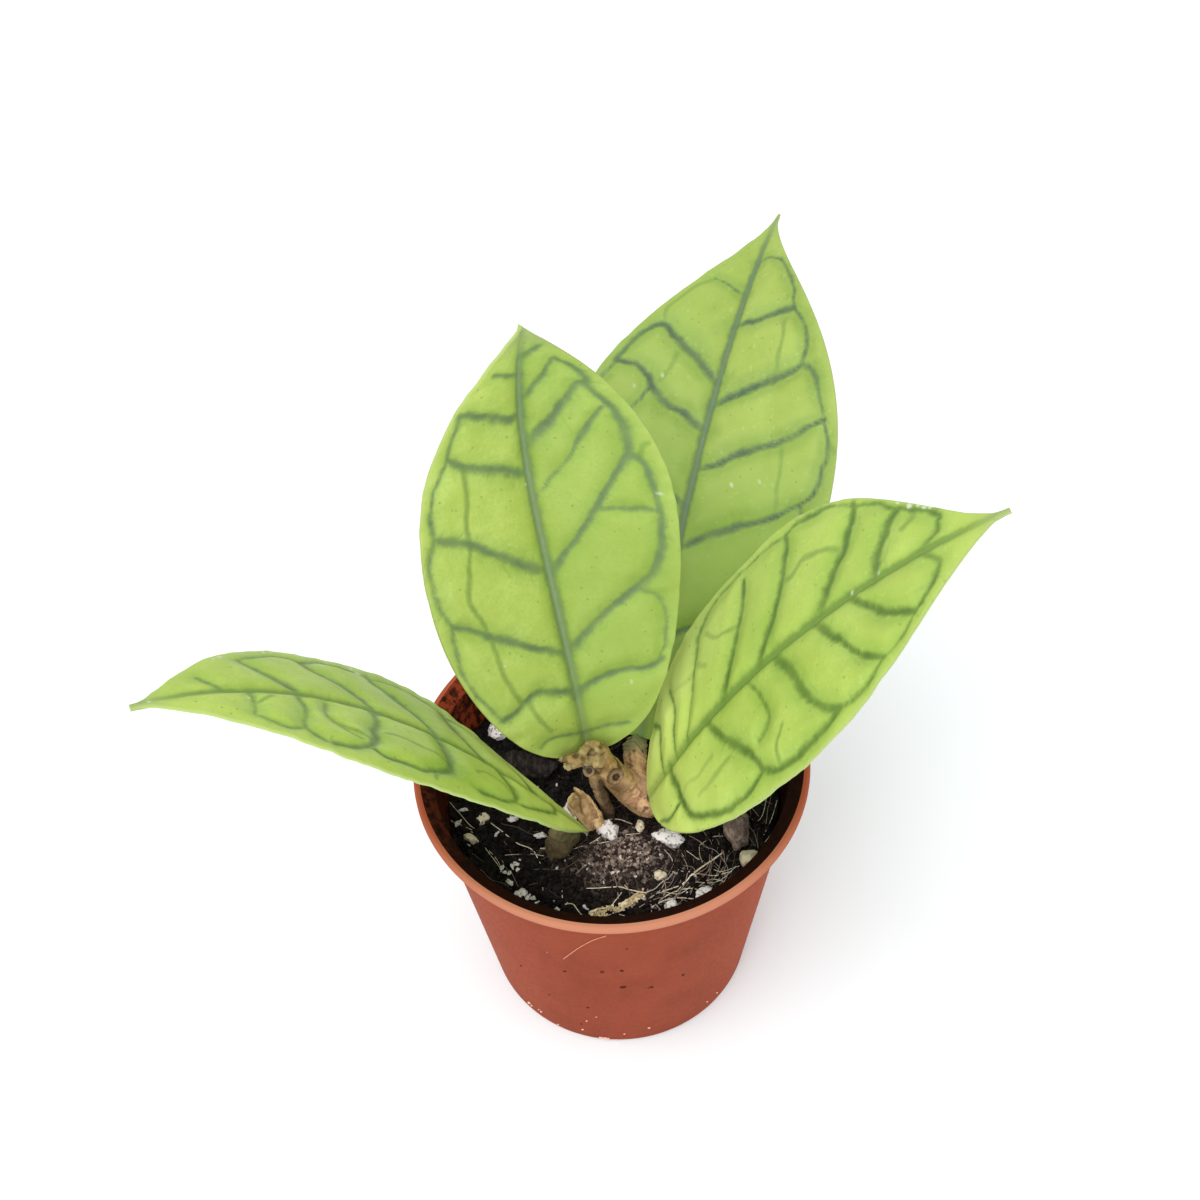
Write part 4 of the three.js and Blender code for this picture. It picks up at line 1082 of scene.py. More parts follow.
def soilTop(x, y):
    # level + mound + hollow + two slow waves, which stand for clods
    clods = soil["clodRise"] * np.sin(0.55 * x + 1.3) * np.cos(0.62 * y - 0.4)
    crumbs = soil["crumbRise"] * np.sin(1.1 * x - 0.8 * y + 2)
    return soil["level"] + swellAt(x, y, soil["mound"]) + swellAt(x, y, soil["hollow"]) + clods + crumbs


def soilReach(gap):
    # the inside of the wall at the soil's level, less a gap
    return wallRadius(soil["level"]) - pot["wall"] - gap


def dryness(x, y):
    # 1 on the dry mound in front of the stem, 0 elsewhere: e^(-(distance / size)^3)
    (cx, cy), (sx, sy) = soil["dryPlace"], soil["drySize"]
    return np.exp(-(((x - cx) / sx) ** 2 + ((y - cy) / sy) ** 2) ** 1.5)


def ground(x, y):
    # the soil's level with two sizes of clod, calmer on the dry mound and next to the wall
    rough = 0.8 * flatNoise(x, y, 4.0, 2, 3) + 0.5 * flatNoise(x, y, 1.3, 3, 7)
    nearWall = (np.hypot(x, y) / soilReach(soil["wallGap"])) ** 12
    return soilTop(x, y) + rough * (1 - 0.6 * dryness(x, y)) * (1 - 0.7 * nearWall)


def soilShape():
    # top: the ground in rings; then down the wall and across the floor
    bottom = pot["floor"] + soil["floorGap"]
    turn = np.linspace(0, 2 * math.pi, soil["sides"], endpoint=False)
    share = np.linspace(1 / soil["rings"], 1, soil["rings"])[:, None]
    reach = soilReach(soil["wallGap"])
    x, y = share * reach * np.cos(turn), share * reach * np.sin(turn)
    top = np.stack([x, y, ground(x, y)], -1)
    low = wallRadius(bottom) - pot["wall"] - soil["footGap"]
    side = np.stack([low * np.cos(turn), low * np.sin(turn), np.full(soil["sides"], bottom)], -1)[None]
    middle = float(ground(np.zeros(1), np.zeros(1))[0])
    points = np.vstack([top.reshape(-1, 3), side.reshape(-1, 3), [[0, 0, middle], [0, 0, bottom]]])
    faces = shellFaces(soil["rings"] + 1, soil["sides"])
    return points, faces, {"dry": dryness(points[:, 0], points[:, 1])}


def crumbShapes(rng):
    # small rough balls thrown over the soil, denser on the dry mound; each a 12-point ball pushed about
    golden = (1 + 5 ** 0.5) / 2
    ball = np.array([(0, a, b * golden) for a in (-1, 1) for b in (-1, 1)], float)
    ball = np.vstack([ball, np.roll(ball, 1, axis=1), np.roll(ball, 2, axis=1)])
    ball /= np.linalg.norm(ball[0])
    gap = np.linalg.norm(ball[:, None] - ball[None], axis=-1)
    near = (gap > 0.1) & (gap < 1.2)
    trios = [(i, j, k) for i in range(12) for j in range(i + 1, 12) for k in range(j + 1, 12)
             if near[i, j] and near[j, k] and near[i, k]]
    a, b, c = [ball[[trio[k] for trio in trios]] for k in range(3)]
    outwards = (np.cross(b - a, c - a) * a).sum(1) > 0
    turned = [trio if out else trio[::-1] for trio, out in zip(trios, outwards)]
    count = soil["crumbs"]
    inner = soilReach(soil["crumbGap"])
    reach = inner * np.sqrt(rng.random(count))
    turn = 2 * math.pi * rng.random(count)
    x, y = reach * np.cos(turn), reach * np.sin(turn)
    onMound = rng.random(count) < soil["crumbShare"]
    (cx, cy), (sx, sy) = soil["dryPlace"], soil["crumbSpread"]
    x = np.where(onMound, cx + sx * rng.standard_normal(count), x)
    y = np.where(onMound, cy + sy * rng.standard_normal(count), y)
    keep = np.hypot(x, y) < inner
    x, y = x[keep], y[keep]
    count = len(x)
    dry = dryness(x, y)
    least, added = soil["crumbSize"]
    size = (least + added * rng.random(count) ** 3) * (1 - soil["dryShrink"] * dry)
    stretch = 1 + 0.7 * (rng.random((count, 3)) - 0.5)
    rough = 1 + 0.5 * (rng.random((count, 12, 1)) - 0.5)
    spin = 2 * math.pi * rng.random(count)
    local = ball[None] * rough * (stretch * size[:, None])[:, None]
    c, s = np.cos(spin)[:, None], np.sin(spin)[:, None]
    px = local[..., 0] * c - local[..., 1] * s + x[:, None]
    py = local[..., 0] * s + local[..., 1] * c + y[:, None]
    pz = local[..., 2] + (ground(x, y) + 0.35 * size)[:, None]
    faces = (np.array(turned)[None] + 12 * np.arange(count)[:, None, None]).reshape(-1, 3)
    (dark, lighter), (dryDark, dryLighter) = soil["crumbTone"], soil["dryTone"]
    tone = dark + lighter * rng.random(count) + dry * (dryDark + dryLighter * rng.random(count))
    tone = np.where(rng.random(count) > 1 - soil["paleCrumbs"], 1.0, tone)
    points = np.stack([px, py, pz], -1).reshape(-1, 3)
    return points, [faces], {"tone": np.repeat(tone, 12)}


def drape(knots, lift=0.1):
    # a line of (x, y, radius) knots laid over the ground: it rests on the highest ground near each place
    knots = np.array(knots, float)
    line, radius = smoothLine(np.column_stack([knots[:, :2], 0 * knots[:, 0], knots[:, 2]]), 5)
    z = ground(line[:, 0], line[:, 1])
    near = np.pad(z, 1, "edge")
    z = np.maximum(z, np.maximum(near[:-2], near[2:]))
    near = np.pad(z, 2, "edge")
    z = (near[:-4] + near[1:-3] + near[2:-2] + near[3:-1] + near[4:]) / 5
    return np.column_stack([line[:, :2], z + radius[:, 0] + lift, radius])


def strewn(rng, count, centre, spread, heading, radius, tone, reach=1.0):
    # short fibres thrown round a place: each a thin tube along an arc of its own, longer with `reach`
    shapes = []
    for _ in range(count):
        x, y = np.array(centre) + np.array(spread) * rng.standard_normal(2)
        aim = 2 * math.pi * rng.random()
        if heading is not None:
            aim = math.radians(heading) + 0.5 * rng.standard_normal()
        bend = 1.3 * (rng.random() - 0.5)
        step = reach * (0.7 + 1.3 * rng.random())
        thick = radius * (0.6 + 0.8 * rng.random())
        knots = []
        for k in range(5):
            knots.append((x, y, thick * (1 - 0.12 * k)))
            aim += bend + 0.5 * (rng.random() - 0.5)
            x, y = x + step * math.cos(aim), y + step * math.sin(aim)
        if max(math.hypot(*knot[:2]) for knot in knots) > soil["fibreReach"]:
            continue
        points, faces, _ = tube(drape(knots, 0.6 * rng.random() ** 2), sides=5, steps=1)
        shades = np.full(len(points), tone[0] + (tone[1] - tone[0]) * rng.random())
        shapes.append((points, faces, {"tone": shades}))
    return shapes


# Loose fibres: how many, round which (x, y), how widely, heading in degrees or None, radius, tones, reach
fibreBeds = [
    (170, (4, -6), (14, 12), None, 0.055, (0.2, 0.7), 1.0),
    (36, (13, -22.5), (4.6, 1.3), 15, 0.06, (0.85, 1.0), 1.7),
    (30, (15.5, -19.5), (3.8, 2.2), 30, 0.045, (0.4, 0.75), 1.9),
    (14, (15, -15.5), (3.4, 1.8), 335, 0.045, (0.4, 0.8), 2.2),
    (34, (5.5, -24.5), (3.0, 1.0), 20, 0.07, (0.85, 1.0), 1.0),
    (26, (25, -9), (2.2, 4.0), 110, 0.05, (0.6, 0.9), 1.3),
    (14, (-20, -12), (4.5, 4.5), 320, 0.05, (0.6, 0.9), 1.4),
    (22, (-4, -12), (4.0, 2.0), 200, 0.05, (0.6, 0.9), 1.0),
]


# Pale threads of root seen on the soil: (x, y) places and a radius
threads = [
    ([(-30.0, -0.2), (-28.3, -2.5), (-26.3, -5.4), (-25.3, -6.0)], 0.08),
    ([(-29.6, -4.3), (-28.1, -5.6), (-25.7, -6.5)], 0.08),
    ([(-19.8, -11.6), (-14.5, -12.5), (-10.9, -13.7), (-8.2, -13.9)], 0.07),
    ([(-13.4, -11.6), (-10.2, -11.9), (-8.6, -12.6)], 0.08),
    ([(-23.3, -10.1), (-22.1, -11.9), (-20.5, -14.4)], 0.07),
    ([(-22.6, -10.6), (-21.0, -12.9), (-20.2, -14.9)], 0.06),
    ([(-9.7, -23.5), (-8.0, -24.1), (-6.9, -25.4), (-6.1, -26.1)], 0.12),
    ([(-9.6, -21.2), (-9.6, -22.6)], 0.1),
    ([(-13.0, -19.2), (-12.9, -20.6)], 0.07),
    ([(1.6, -22.3), (0.6, -21.2), (0.2, -20.4)], 0.09),
    ([(3.3, -22.8), (4.4, -24.2), (5.3, -25.1)], 0.12),
    ([(1.0, -22.4), (-0.6, -24.0), (-1.8, -25.6)], 0.1),
    ([(9.8, -13.2), (12.4, -14.6), (14.3, -16.8)], 0.08),
    ([(14.7, -13.2), (17.3, -11.4), (19.1, -11.9)], 0.07),
    ([(26.0, -13.5), (28.9, -9.9)], 0.08),
    ([(9.9, -18.5), (11.4, -19.8), (13.5, -19.9)], 0.08),
    ([(13.1, -22.2), (16.2, -20.1), (18.7, -21.1), (19.4, -22.2)], 0.09),
    ([(5.5, -25.6), (7.9, -24.1), (10.1, -23.6), (13.7, -23.6)], 0.15),
    ([(10.1, -22.7), (13.0, -20.3), (14.9, -19.6), (17.3, -19.4), (19.7, -19.3)], 0.1),
    ([(14.6, -13.5), (14.5, -16.1), (14.8, -17.6)], 0.07),
    ([(6.4, -24.6), (9.2, -22.8), (12.6, -22.2), (15.4, -22.6)], 0.12),
    ([(4.8, -24.6), (7.4, -22.9), (10.6, -22.9), (13.4, -21.2)], 0.09),
    ([(12.4, -21.4), (15.2, -20.9), (18.0, -20.3), (20.6, -18.4)], 0.08),
    ([(16.4, -18.2), (18.2, -18.8), (21.2, -18.2)], 0.07),
    ([(-2.6, -11.4), (-4.6, -12.4), (-7.4, -12.8)], 0.09),
    ([(-3.2, -12.6), (-1.0, -12.2)], 0.08),
    ([(-1.2, -7.2), (1.4, -7.6), (3.4, -8.6)], 0.1),
    ([(1.8, -11.6), (4.4, -11.2)], 0.08),
    ([(29.4, -5.1), (28.0, -8.6), (26.2, -11.9)], 0.08),
    ([(27.6, -4.4), (26.4, -7.8), (25.2, -9.0)], 0.07),
    ([(-3.3, -24.9), (-1.2, -25.9), (1.6, -26.6)], 0.09),
    ([(8.1, -14.6), (9.6, -17.0), (9.1, -18.8), (11.0, -20.4)], 0.06),
    ([(11.4, -15.0), (12.2, -17.4), (10.2, -19.6)], 0.06),
    ([(21.8, -7.6), (23.6, -5.0), (26.2, -3.4)], 0.07),
]

# Roots thick enough to be solids of their own: (x, y, radius) knots
roots = {
    "rootFront": ("root_front", [
        (-5.4, -21.4, 0.06), (-1.3, -21.7, 0.08), (1.6, -22.3, 0.09), (6, -22.9, 0.1), (9.7, -22.0, 0.11),
        (11.4, -21.5, 0.14), (13.5, -19.6, 0.15), (18.6, -15.4, 0.13)]),
    "rootLeft": ("root_left", [
        (-23.4, -3.6, 0.07), (-21.4, -5.2, 0.09), (-18.2, -8.6, 0.09), (-15, -11.2, 0.09),
        (-13.4, -14.4, 0.06)]),
}
frayedRoot = {
    "node": "root_frayed",
    "places": [(4.4, -22.6), (3.0, -23.6), (0.2, -25.0), (-2.6, -26.0), (-4.6, -26.4)],
    "strands": 4,
    "spread": 0.35,
    "drift": (0.16, 0.16, 0.07),  # how far a strand strays from one place to the next
    "radius": 0.16,
    "tufts": 320,
    "tuftSpread": (0.36, 0.36, 0.2),
    "tuftReach": (0.26, 0.26, 0.2),
    "tuftRadii": (0.13, 0.17, 0.07),  # root, middle, tip
}


def frayedShape(rng):
    # several rough strands wound loosely round one line, with small tufts all along it
    shapes = []
    base = drape([(x, y, 0.3) for x, y in frayedRoot["places"]], 0.0)
    for _ in range(frayedRoot["strands"]):
        drift = np.cumsum(rng.standard_normal((len(base), 3)) * frayedRoot["drift"], axis=0)
        offset = frayedRoot["spread"] * rng.uniform(-1, 1, 3) * (1, 1, 0.4) + 0.6 * drift
        line = np.column_stack([base[:, :3] + offset, np.full(len(base), frayedRoot["radius"])])
        shapes.append(tube(line, 7, 3, 0.5, 61))
    at = rng.integers(0, len(base), frayedRoot["tufts"])
    thick, thickest, thin = frayedRoot["tuftRadii"]
    for place in base[at, :3] + rng.standard_normal((len(at), 3)) * frayedRoot["tuftSpread"]:
        tip = place + rng.standard_normal(3) * frayedRoot["tuftReach"]
        shapes.append(tube([(*place, thick), (*(place + tip) / 2, thickest), (*tip, thin)], 5, 2))
    return joined(shapes)


# Grains on the soil: node, (x, y), half sizes, turn in degrees, kind
grains = {
    "perliteMiddle": ("perlite_middle", (-1.1, -10.4), (2, 1.8, 1.9), 20, "perlite"),
    "perliteFlat": ("perlite_flat", (9.2, -12.6), (3.2, 1.8, 1.3), -8, "perlite"),
    "perliteChip": ("perlite_chip", (-7.6, -4.3), (2, 2.1, 1), 15, "perlite"),
    "perliteFar": ("perlite_far", (-21, 15), (2.2, 2, 1.8), 40, "perlite"),
    "perliteRight": ("perlite_right", (14.6, -23.4), (1.7, 1.3, 1.2), 30, "perlite"),
    "perliteFront": ("perlite_front", (8.8, -26), (1.4, 1.2, 1.1), 70, "perlite"),
    "perliteLeft": ("perlite_left", (-17, -20.8), (1.5, 1, 0.9), 50, "perlite"),
    "shardCream": ("shard_cream", (4.4, -9.6), (0.8, 1.2, 1), 10, "grit"),
    "gritMiddle": ("grit_middle", (7.2, -20), (1.1, 1, 0.9), 35, "grit"),
    "gritLeft": ("grit_left", (-24, -3.6), (1.3, 1, 0.9), 60, "grit"),
    "gritEdge": ("grit_edge", (-26, -8), (1.4, 0.9, 0.8), -25, "grit"),
    "pebble": ("pebble", (23.1, -17.2), (1.9, 2.35, 1.75), 15, "pebble"),
    "barkChip": ("bark_chip", (21.3, -10.9), (2.6, 3.4, 2.0), -12, "bark"),
    "barkSlab": ("bark_slab", (-14.6, 6.6), (5.4, 2.7, 1.5), -28, "darkBark"),
}
chunkCuts = {"planes": 16, "depths": (0.74, 1.0), "farthest": 1.12}  # shares of the ball's radius
grainSunk = 0.45  # a grain's middle lies this share of its half height above the soil
grainLook = {  # roughness of the outline and its size in millimetres
    "perlite": (0.16, 0.9),
    "grit": (0.14, 0.9),
    "pebble": (0.08, 2.0),
    "bark": (0.12, 1.3),
    "darkBark": (0.12, 1.3),
}

# White specks: x, y, radius
specks = [
    (-5.1, -16.5, 0.55), (-10.4, -15.7, 0.4), (-18.8, -18.1, 0.6), (-13.3, -8.5, 0.75), (-5.4, -14.1, 0.35),
    (-5.7, -24.7, 0.5), (-21.3, -6.8, 0.35), (-11.0, -0.4, 0.35), (-18.6, -3.9, 0.8), (-17.6, -3.2, 0.6),
    (-0.1, -18.8, 0.3), (-5.1, -18.2, 0.45), (-3.1, -24.5, 0.35), (9.3, -11.4, 0.35), (1.8, -12.2, 0.3),
    (3.2, -12.8, 0.3), (5.4, -10.8, 0.35), (4.2, -15.6, 0.22), (-2.4, -20.4, 0.25), (11.8, -25.2, 0.4),
    (-20.3, -14.6, 0.5), (-19.7, -15.5, 0.4), (-18.9, -15.9, 0.45), (-18.3, -15.0, 0.4), (-17.7, -14.4, 0.5),
    (-17.3, -15.6, 0.35), (-16.9, -13.8, 0.3), (-16.5, -20.6, 0.5), (-15.6, -21.3, 0.45), (-14.7, -21.6, 0.4),
    (-14.3, -22.6, 0.4), (-15.9, -19.8, 0.35), (-10.6, -23.9, 0.4), (-11.2, -22.9, 0.3), (-9.0, -22.8, 0.3),
    (-27.4, -1.6, 0.45), (-28.3, -5.2, 0.5), (-26.6, -8.9, 0.4), (-9.2, 0.8, 0.3), (-13.8, 2.4, 0.3),
]
speckLook = {
    "half": (1.35, 0.7, 0.5),  # half sizes as shares of the radius
    "turn": 67,  # degrees from one speck to the next
    "roughness": 0.75,
    "size": 0.45,
    "seed": 40,
    "rings": 14,
    "sides": 20,
}


def chunk(at, half, turn, roughness, size, seed, rings=26, sides=38):
    # A ball cut by random planes, stretched to its half sizes, its skin pitted by noise, turned round Z
    rng = np.random.default_rng(seed)
    ball, faces = ballGrid(rings, sides)
    normals = rng.standard_normal((chunkCuts["planes"], 3))
    normals /= np.linalg.norm(normals, axis=1, keepdims=True)
    facing = np.maximum(ball @ normals.T, 0.05)
    depths = rng.uniform(*chunkCuts["depths"], chunkCuts["planes"])
    reach = np.minimum(chunkCuts["farthest"], np.min(depths / facing, axis=1))
    swell = reach * (1 + roughness * roughNoise(ball * np.array(half) + seed * 9.7, size, 3, seed))
    local = ball * np.array(half) * swell[:, None]
    c, s = math.cos(math.radians(turn)), math.sin(math.radians(turn))
    x = local[:, 0] * c - local[:, 1] * s + at[0]
    y = local[:, 0] * s + local[:, 1] * c + at[1]
    return np.stack([x, y, local[:, 2] + at[2]], -1), faces, {}


def grainShape(at, half, turn, roughness, size, seed, rings=26, sides=38):
    # a chunk that lies on the soil
    middle = (*at, float(soilTop(*at)) + grainSunk * half[2])
    return chunk(middle, half, turn, roughness, size, seed, rings, sides)


def speckShape(number, x, y, radius):
    # a small, flat, rough chunk that lies on the soil
    half = [share * radius for share in speckLook["half"]]
    turn, seed = speckLook["turn"] * number, speckLook["seed"] + number
    roughness, size, rings, sides = [speckLook[key] for key in ("roughness", "size", "rings", "sides")]
    return grainShape((x, y), half, turn, roughness, size, seed, rings, sides)


def stuckShape(places, tall, roughness, seed):
    # chunks half sunk in the wall, half as deep as wide
    return joined([
        chunk(wallPlace(x, z, 0), (r, 0.5 * r, tall * r), 0, roughness, 0.4, seed + k)
        for k, (x, z, r) in enumerate(places)
    ])


# Stem, shoot and bract

stem = {
    "limbs": [
        [(-3.1, -5.0, 66.6, 1.7), (-2.3, -4.9, 64.6, 2.2), (-0.7, -4.8, 60.4, 2.3), (1.3, -4.5, 56.2, 2.6),
         (4.1, -4.1, 51.7, 3.0), (6.9, -4, 48, 3.2), (9, -3.8, 43, 2.6), (10, -3.8, 37, 1.4)],
        [(-3, -5.2, 62, 1.2), (-2.6, -5.6, 56, 1.0), (-0.9, -5.9, 49, 1.2), (-0.4, -6, 40, 0.8)],
        [(-3.6, -5.4, 64.6, 1.2), (-6.4, -5.7, 64.7, 0.85), (-8.9, -6, 65.3, 0.55)],
        [(-5.2, -5.6, 64.2, 0.9), (-7.0, -5.9, 63.6, 0.85), (-8.2, -6, 63.3, 0.7)],
        [(-3.4, -5.0, 60.8, 1.0), (-4.1, -7.0, 62.9, 1.0)],
        [(-0.3, -4.9, 59.6, 1.6), (0.25, -6.9, 61.2, 1.45)],
        [(3.7, -4.6, 53.6, 1.3), (3.9, -6.6, 55.0, 0.95)],
        [(-4.3, -6.0, 67.6, 0.95), (-4.2, -6.4, 64.4, 0.9)],
        [(-2.6, -5.8, 68.0, 0.9), (-1.5, -5.8, 66.8, 1.1)],
        [(-3.2, -6.9, 64.2, 0.6), (-1.5, -6.7, 64.0, 0.75)],
    ],
    "petioles": {
        "leafA": [(-2.4, -4, 59.4, 1.8), (-3.7, -2.5, 59.3, 1.6)],
        "leafB": [(4.3, -3.2, 52.5, 2.1), (4.3, 0.2, 54, 2.0), (4.6, 3.4, 54.6, 2.2)],
        "leafC": [(6.2, -4.4, 50.3, 2.2), (6.4, -7, 51.2, 2), (5.7, -8.05, 53.4, 1.7)],
    },
    "cell": 0.16,
    "bark": [(0.16, 1.9, 3, 31), (0.07, 0.5, 2, 37)],  # height, size, octaves and seed of the noise
    "knobs": 0.3,  # height of the lumps round the top
    "ragged": [(-8.9, -6.1, 65.5), (-8.3, -6.1, 63.3)],  # the torn ends
    # scars: place, radius, height of the ring, depth of the pit, how dark their lines are
    "scars": [
        ((0.98, -7.9, 61.4), 1.2, 0.42, 0.9, 1.0), ((-4.15, -7.7, 63.6), 0.95, 0.3, 0.7, 0.75),
        ((3.9, -7.1, 55.87), 0.8, 0.14, 0.08, 0.35), ((2.45, -6.88, 56.34), 0.42, 0.14, 0.2, 0.5),
    ],
    # bulges and hollows: place, radius, height
    "bulges": [
        ((-3.17, -6.6, 67.2), 0.85, -0.8), ((-4.3, -6.9, 68.0), 0.9, 0.25), ((-2.1, -6.3, 68.6), 1.1, 0.25),
        ((-2.5, -7.1, 65.0), 0.9, 0.3), ((-2.0, -7.1, 63.0), 0.8, -0.5), ((-6.0, -5.6, 65.5), 0.7, -0.35),
        ((-4.9, -6.2, 69.4), 0.6, 0.5), ((0.9, -6.9, 57.4), 1.8, -0.3), ((-1.4, -7.0, 66.4), 0.7, -0.25),
    ],
    # tints: mark, place, radius, share. The fold tints are painted shade in hollows and creases and under the
    # ring scar; the pale ones are painted highlights on the knob and in a scar, but pale wood on the torn
    # ends and the lower arm
    "tints": [
        ("fold", (-3.17, -6.6, 67.2), 1.1, 0.95), ("fold", (-2.0, -7.1, 63.0), 1.2, 0.75),
        ("fold", (-6.0, -5.6, 65.5), 0.9, 0.8), ("fold", (1.2, -6.9, 56.8), 2.2, 0.55),
        ("fold", (-4.9, -6.2, 69.6), 0.7, 0.9), ("fold", (-1.4, -7.0, 66.4), 0.6, 0.6),
        ("fold", (-2.9, -5.6, 61.2), 1.5, 0.6), ("fold", (-1.2, -5.8, 54.0), 1.2, 0.7),
        ("pale", (-2.5, -7.2, 65.1), 0.7, 0.45), ("pale", (-8.9, -6.1, 65.6), 0.8, 0.6),
        ("pale", (-8.3, -6.3, 63.3), 1.1, 0.85), ("pale", (-7.2, -6.6, 63.6), 0.9, 0.5),
        ("pale", (0.55, -7.5, 61.2), 0.5, 0.95), ("pale", (1.5, -7.5, 61.7), 0.4, 0.5),
        ("pale", (-4.3, -7.0, 68.2), 0.6, 0.4), ("pale", (-2.0, -6.4, 69.0), 0.7, 0.35),
        ("blush", (5.4, -6.2, 54.0), 5.2, 1.0), ("blush", (1.8, -6.4, 59.0), 3.4, 0.8),
        ("young", (4.5, 4.4, 56.4), 4.0, 1.0), ("knob", (-3.4, -6.2, 66.9), 4.2, 0.95),
        ("knob", (-7.2, -6.0, 65.0), 2.6, 0.5), ("grey", (-4.15, -7.4, 63.6), 1.8, 1.0),
        ("grey", (0.98, -7.9, 61.4), 1.9, 0.6),
    ],
}
shoot = {
    "limb": [
        (-10.4, -11.8, 39, 1.4), (-10.2, -12, 46.5, 2.3), (-9.4, -12.2, 50, 2.5), (-8.0, -12.5, 52.4, 1.9),
    ],
    "under": 5.0,  # it ends this far along its leaf, beneath the blade
    "cell": 0.2,
    "bark": [(0.18, 1.8, 3, 53), (0.08, 0.5, 2, 59)],
}
petioleEnd = {
    "radius": 1.35, "straight": 0.8, "gap": 0.3,
    "below": 0.3, "comesFrom": 2.0,  # for an end beneath the blade
}
bract = {
    "foot": (-3.6, -9.4), "top": (-5.3, -8.6, 55.8), "buried": 0.7, "radii": (0.5, 2.35, 2.35),
    "curl": (-50, 178), "flare": 40,  # degrees; at the top it curls round further by the flare
    "thickness": 0.5, "rows": 70, "columns": 120,
    "highAt": 142, "rise": 2.7,  # the top edge is highest at this angle
    "crumple": 0.42, "roughEdge": 0.3, "creaseDepth": 0.75,
}


def petioleTo(leaf, line, under=0.0):
    # the petiole's line, ended square to its leaf just short of the blade, or under it at a distance along it
    places, acrosses, normals = midrib(leaf)
    forward = np.cross(acrosses[0], normals[0])
    middle = places[0] - normals[0] * blade["thickness"][0] / 2
    if under:
        end = middle + forward * under - normals[0] * petioleEnd["below"]
        approach = end - normals[0] * petioleEnd["comesFrom"]
    else:
        end = middle - forward * petioleEnd["gap"]
        approach = end - forward * petioleEnd["straight"]
    return [*line, (*approach, petioleEnd["radius"]), (*end, petioleEnd["radius"])]


def stemShape():
    # limbs fused into one skin, then pushed along its normals: bark noise, creases, rings, bulges and scars
    limbs = [tube(line, 24, 6, 0.08, k) for k, line in enumerate(stem["limbs"])]
    for k, (name, line) in enumerate(stem["petioles"].items()):
        limbs.append(tube(petioleTo(leaves[name], line), 24, 6, 0.06, 20 + k))
    points, normals, faces = fused(limbs, stem["cell"])
    x, y, z = points.T
    lump = roughNoise(points * (1, 1, 0.75), 1.3, 2, 33)
    knobby = np.maximum(ease(60, 63.5, z) * ease(0.5, -1.5, x), 0.25)
    push = relief(points, stem["bark"]) + stem["knobs"] * knobby * lump
    bent = points * (1.3, 1, 0.8) + 0.6 * noise(points, 1.5, 5)[:, None]
    crease = ease(0.3, 0.75, roughNoise(bent, 1.5, 2, 41))
    around = y + 0.55 * z + 0.6 * x + 2.0 * roughNoise(points, 2.4, 2, 43)
    wrinkled = np.maximum(ease(-3.4, -1.8, y) * ease(0, 1, x), ease(-7.5, -9.0, y) * ease(54, 50, z))
    folds = np.sin(5.0 * around) * wrinkled * (0.5 + 0.5 * noise(points, 1.2, 45))
    hollow = ease(0.05, 0.75, -lump) * knobby
    # the fold mark is painted shade in the creases, in the hollows between the knob's lumps and in the
    # troughs of the wrinkles
    marks = {"fold": np.maximum(np.maximum(0.75 * crease, 0.6 * hollow), 0.75 * ease(0.2, 0.9, -folds))}
    for key in ("young", "blush", "grey", "knob"):
        marks[key] = np.zeros(len(points))
    # a painted highlight on the tops of the knob's lumps
    marks["pale"] = 0.22 * ease(0.25, 0.8, lump) * knobby
    push = push - 0.2 * crease + 0.2 * folds
    for centre, radius, height in stem["bulges"]:
        push = push + height * np.exp(-(awayFrom(points, centre) / radius) ** 2)
    uneven = 0.12 * noise(points, 0.7, 49)
    for centre, radius, rise, pit, ink in stem["scars"]:
        nearest = points[np.argmin(((points - np.array(centre)) ** 2).sum(1))]
        gap = awayFrom(points, nearest) / radius + 0.5 * uneven
        push = push + rise * np.exp(-((gap - 0.9) / 0.28) ** 2) - pit * (1 - ease(0.2, 0.75, gap))
        # round each scar: its own dark rings and painted shade in its pit, and no painted highlight
        here = 1 - ease(1.3, 1.6, gap)
        dark = ease(0.66, 0.5, gap) + 0.6 * ease(0.6, 0.8, gap) + 0.4 * np.exp(-((gap - 1.35) / 0.2) ** 2)
        marks["fold"] = np.maximum(marks["fold"], ink * dark) * here + marks["fold"] * (1 - here)
        marks["pale"] = marks["pale"] * (1 - here)
    for key, centre, radius, share in stem["tints"]:
        gap = awayFrom(points, centre) / radius + uneven
        marks[key] = np.maximum(marks[key], share * (1 - ease(0.35, 1.1, gap)))
    ends = np.minimum(*[awayFrom(points, end) for end in stem["ragged"]])
    push = push + 0.4 * (1 - ease(0.6, 1.8, ends)) * roughNoise(points, 0.5, 2, 47)
    fromLeg = x - np.interp(z, [47, 54.6, 62], [-0.7, -2.5, -3.1])
    onLeg = (1 - ease(1.6, 2.1, np.hypot(fromLeg, y + 5.7))) * ease(61, 58, z)
    marks["grey"] = np.maximum(marks["grey"], 0.5 * onLeg)
    # painted shade on the leg: darker on its right side and towards its foot
    shaded = np.maximum(0.8 * ease(-0.6, 0.7, fromLeg), 0.9 * ease(55, 49.5, z))
    marks["fold"] = np.maximum(marks["fold"], onLeg * shaded)
    return points + normals * push[:, None], faces, marks


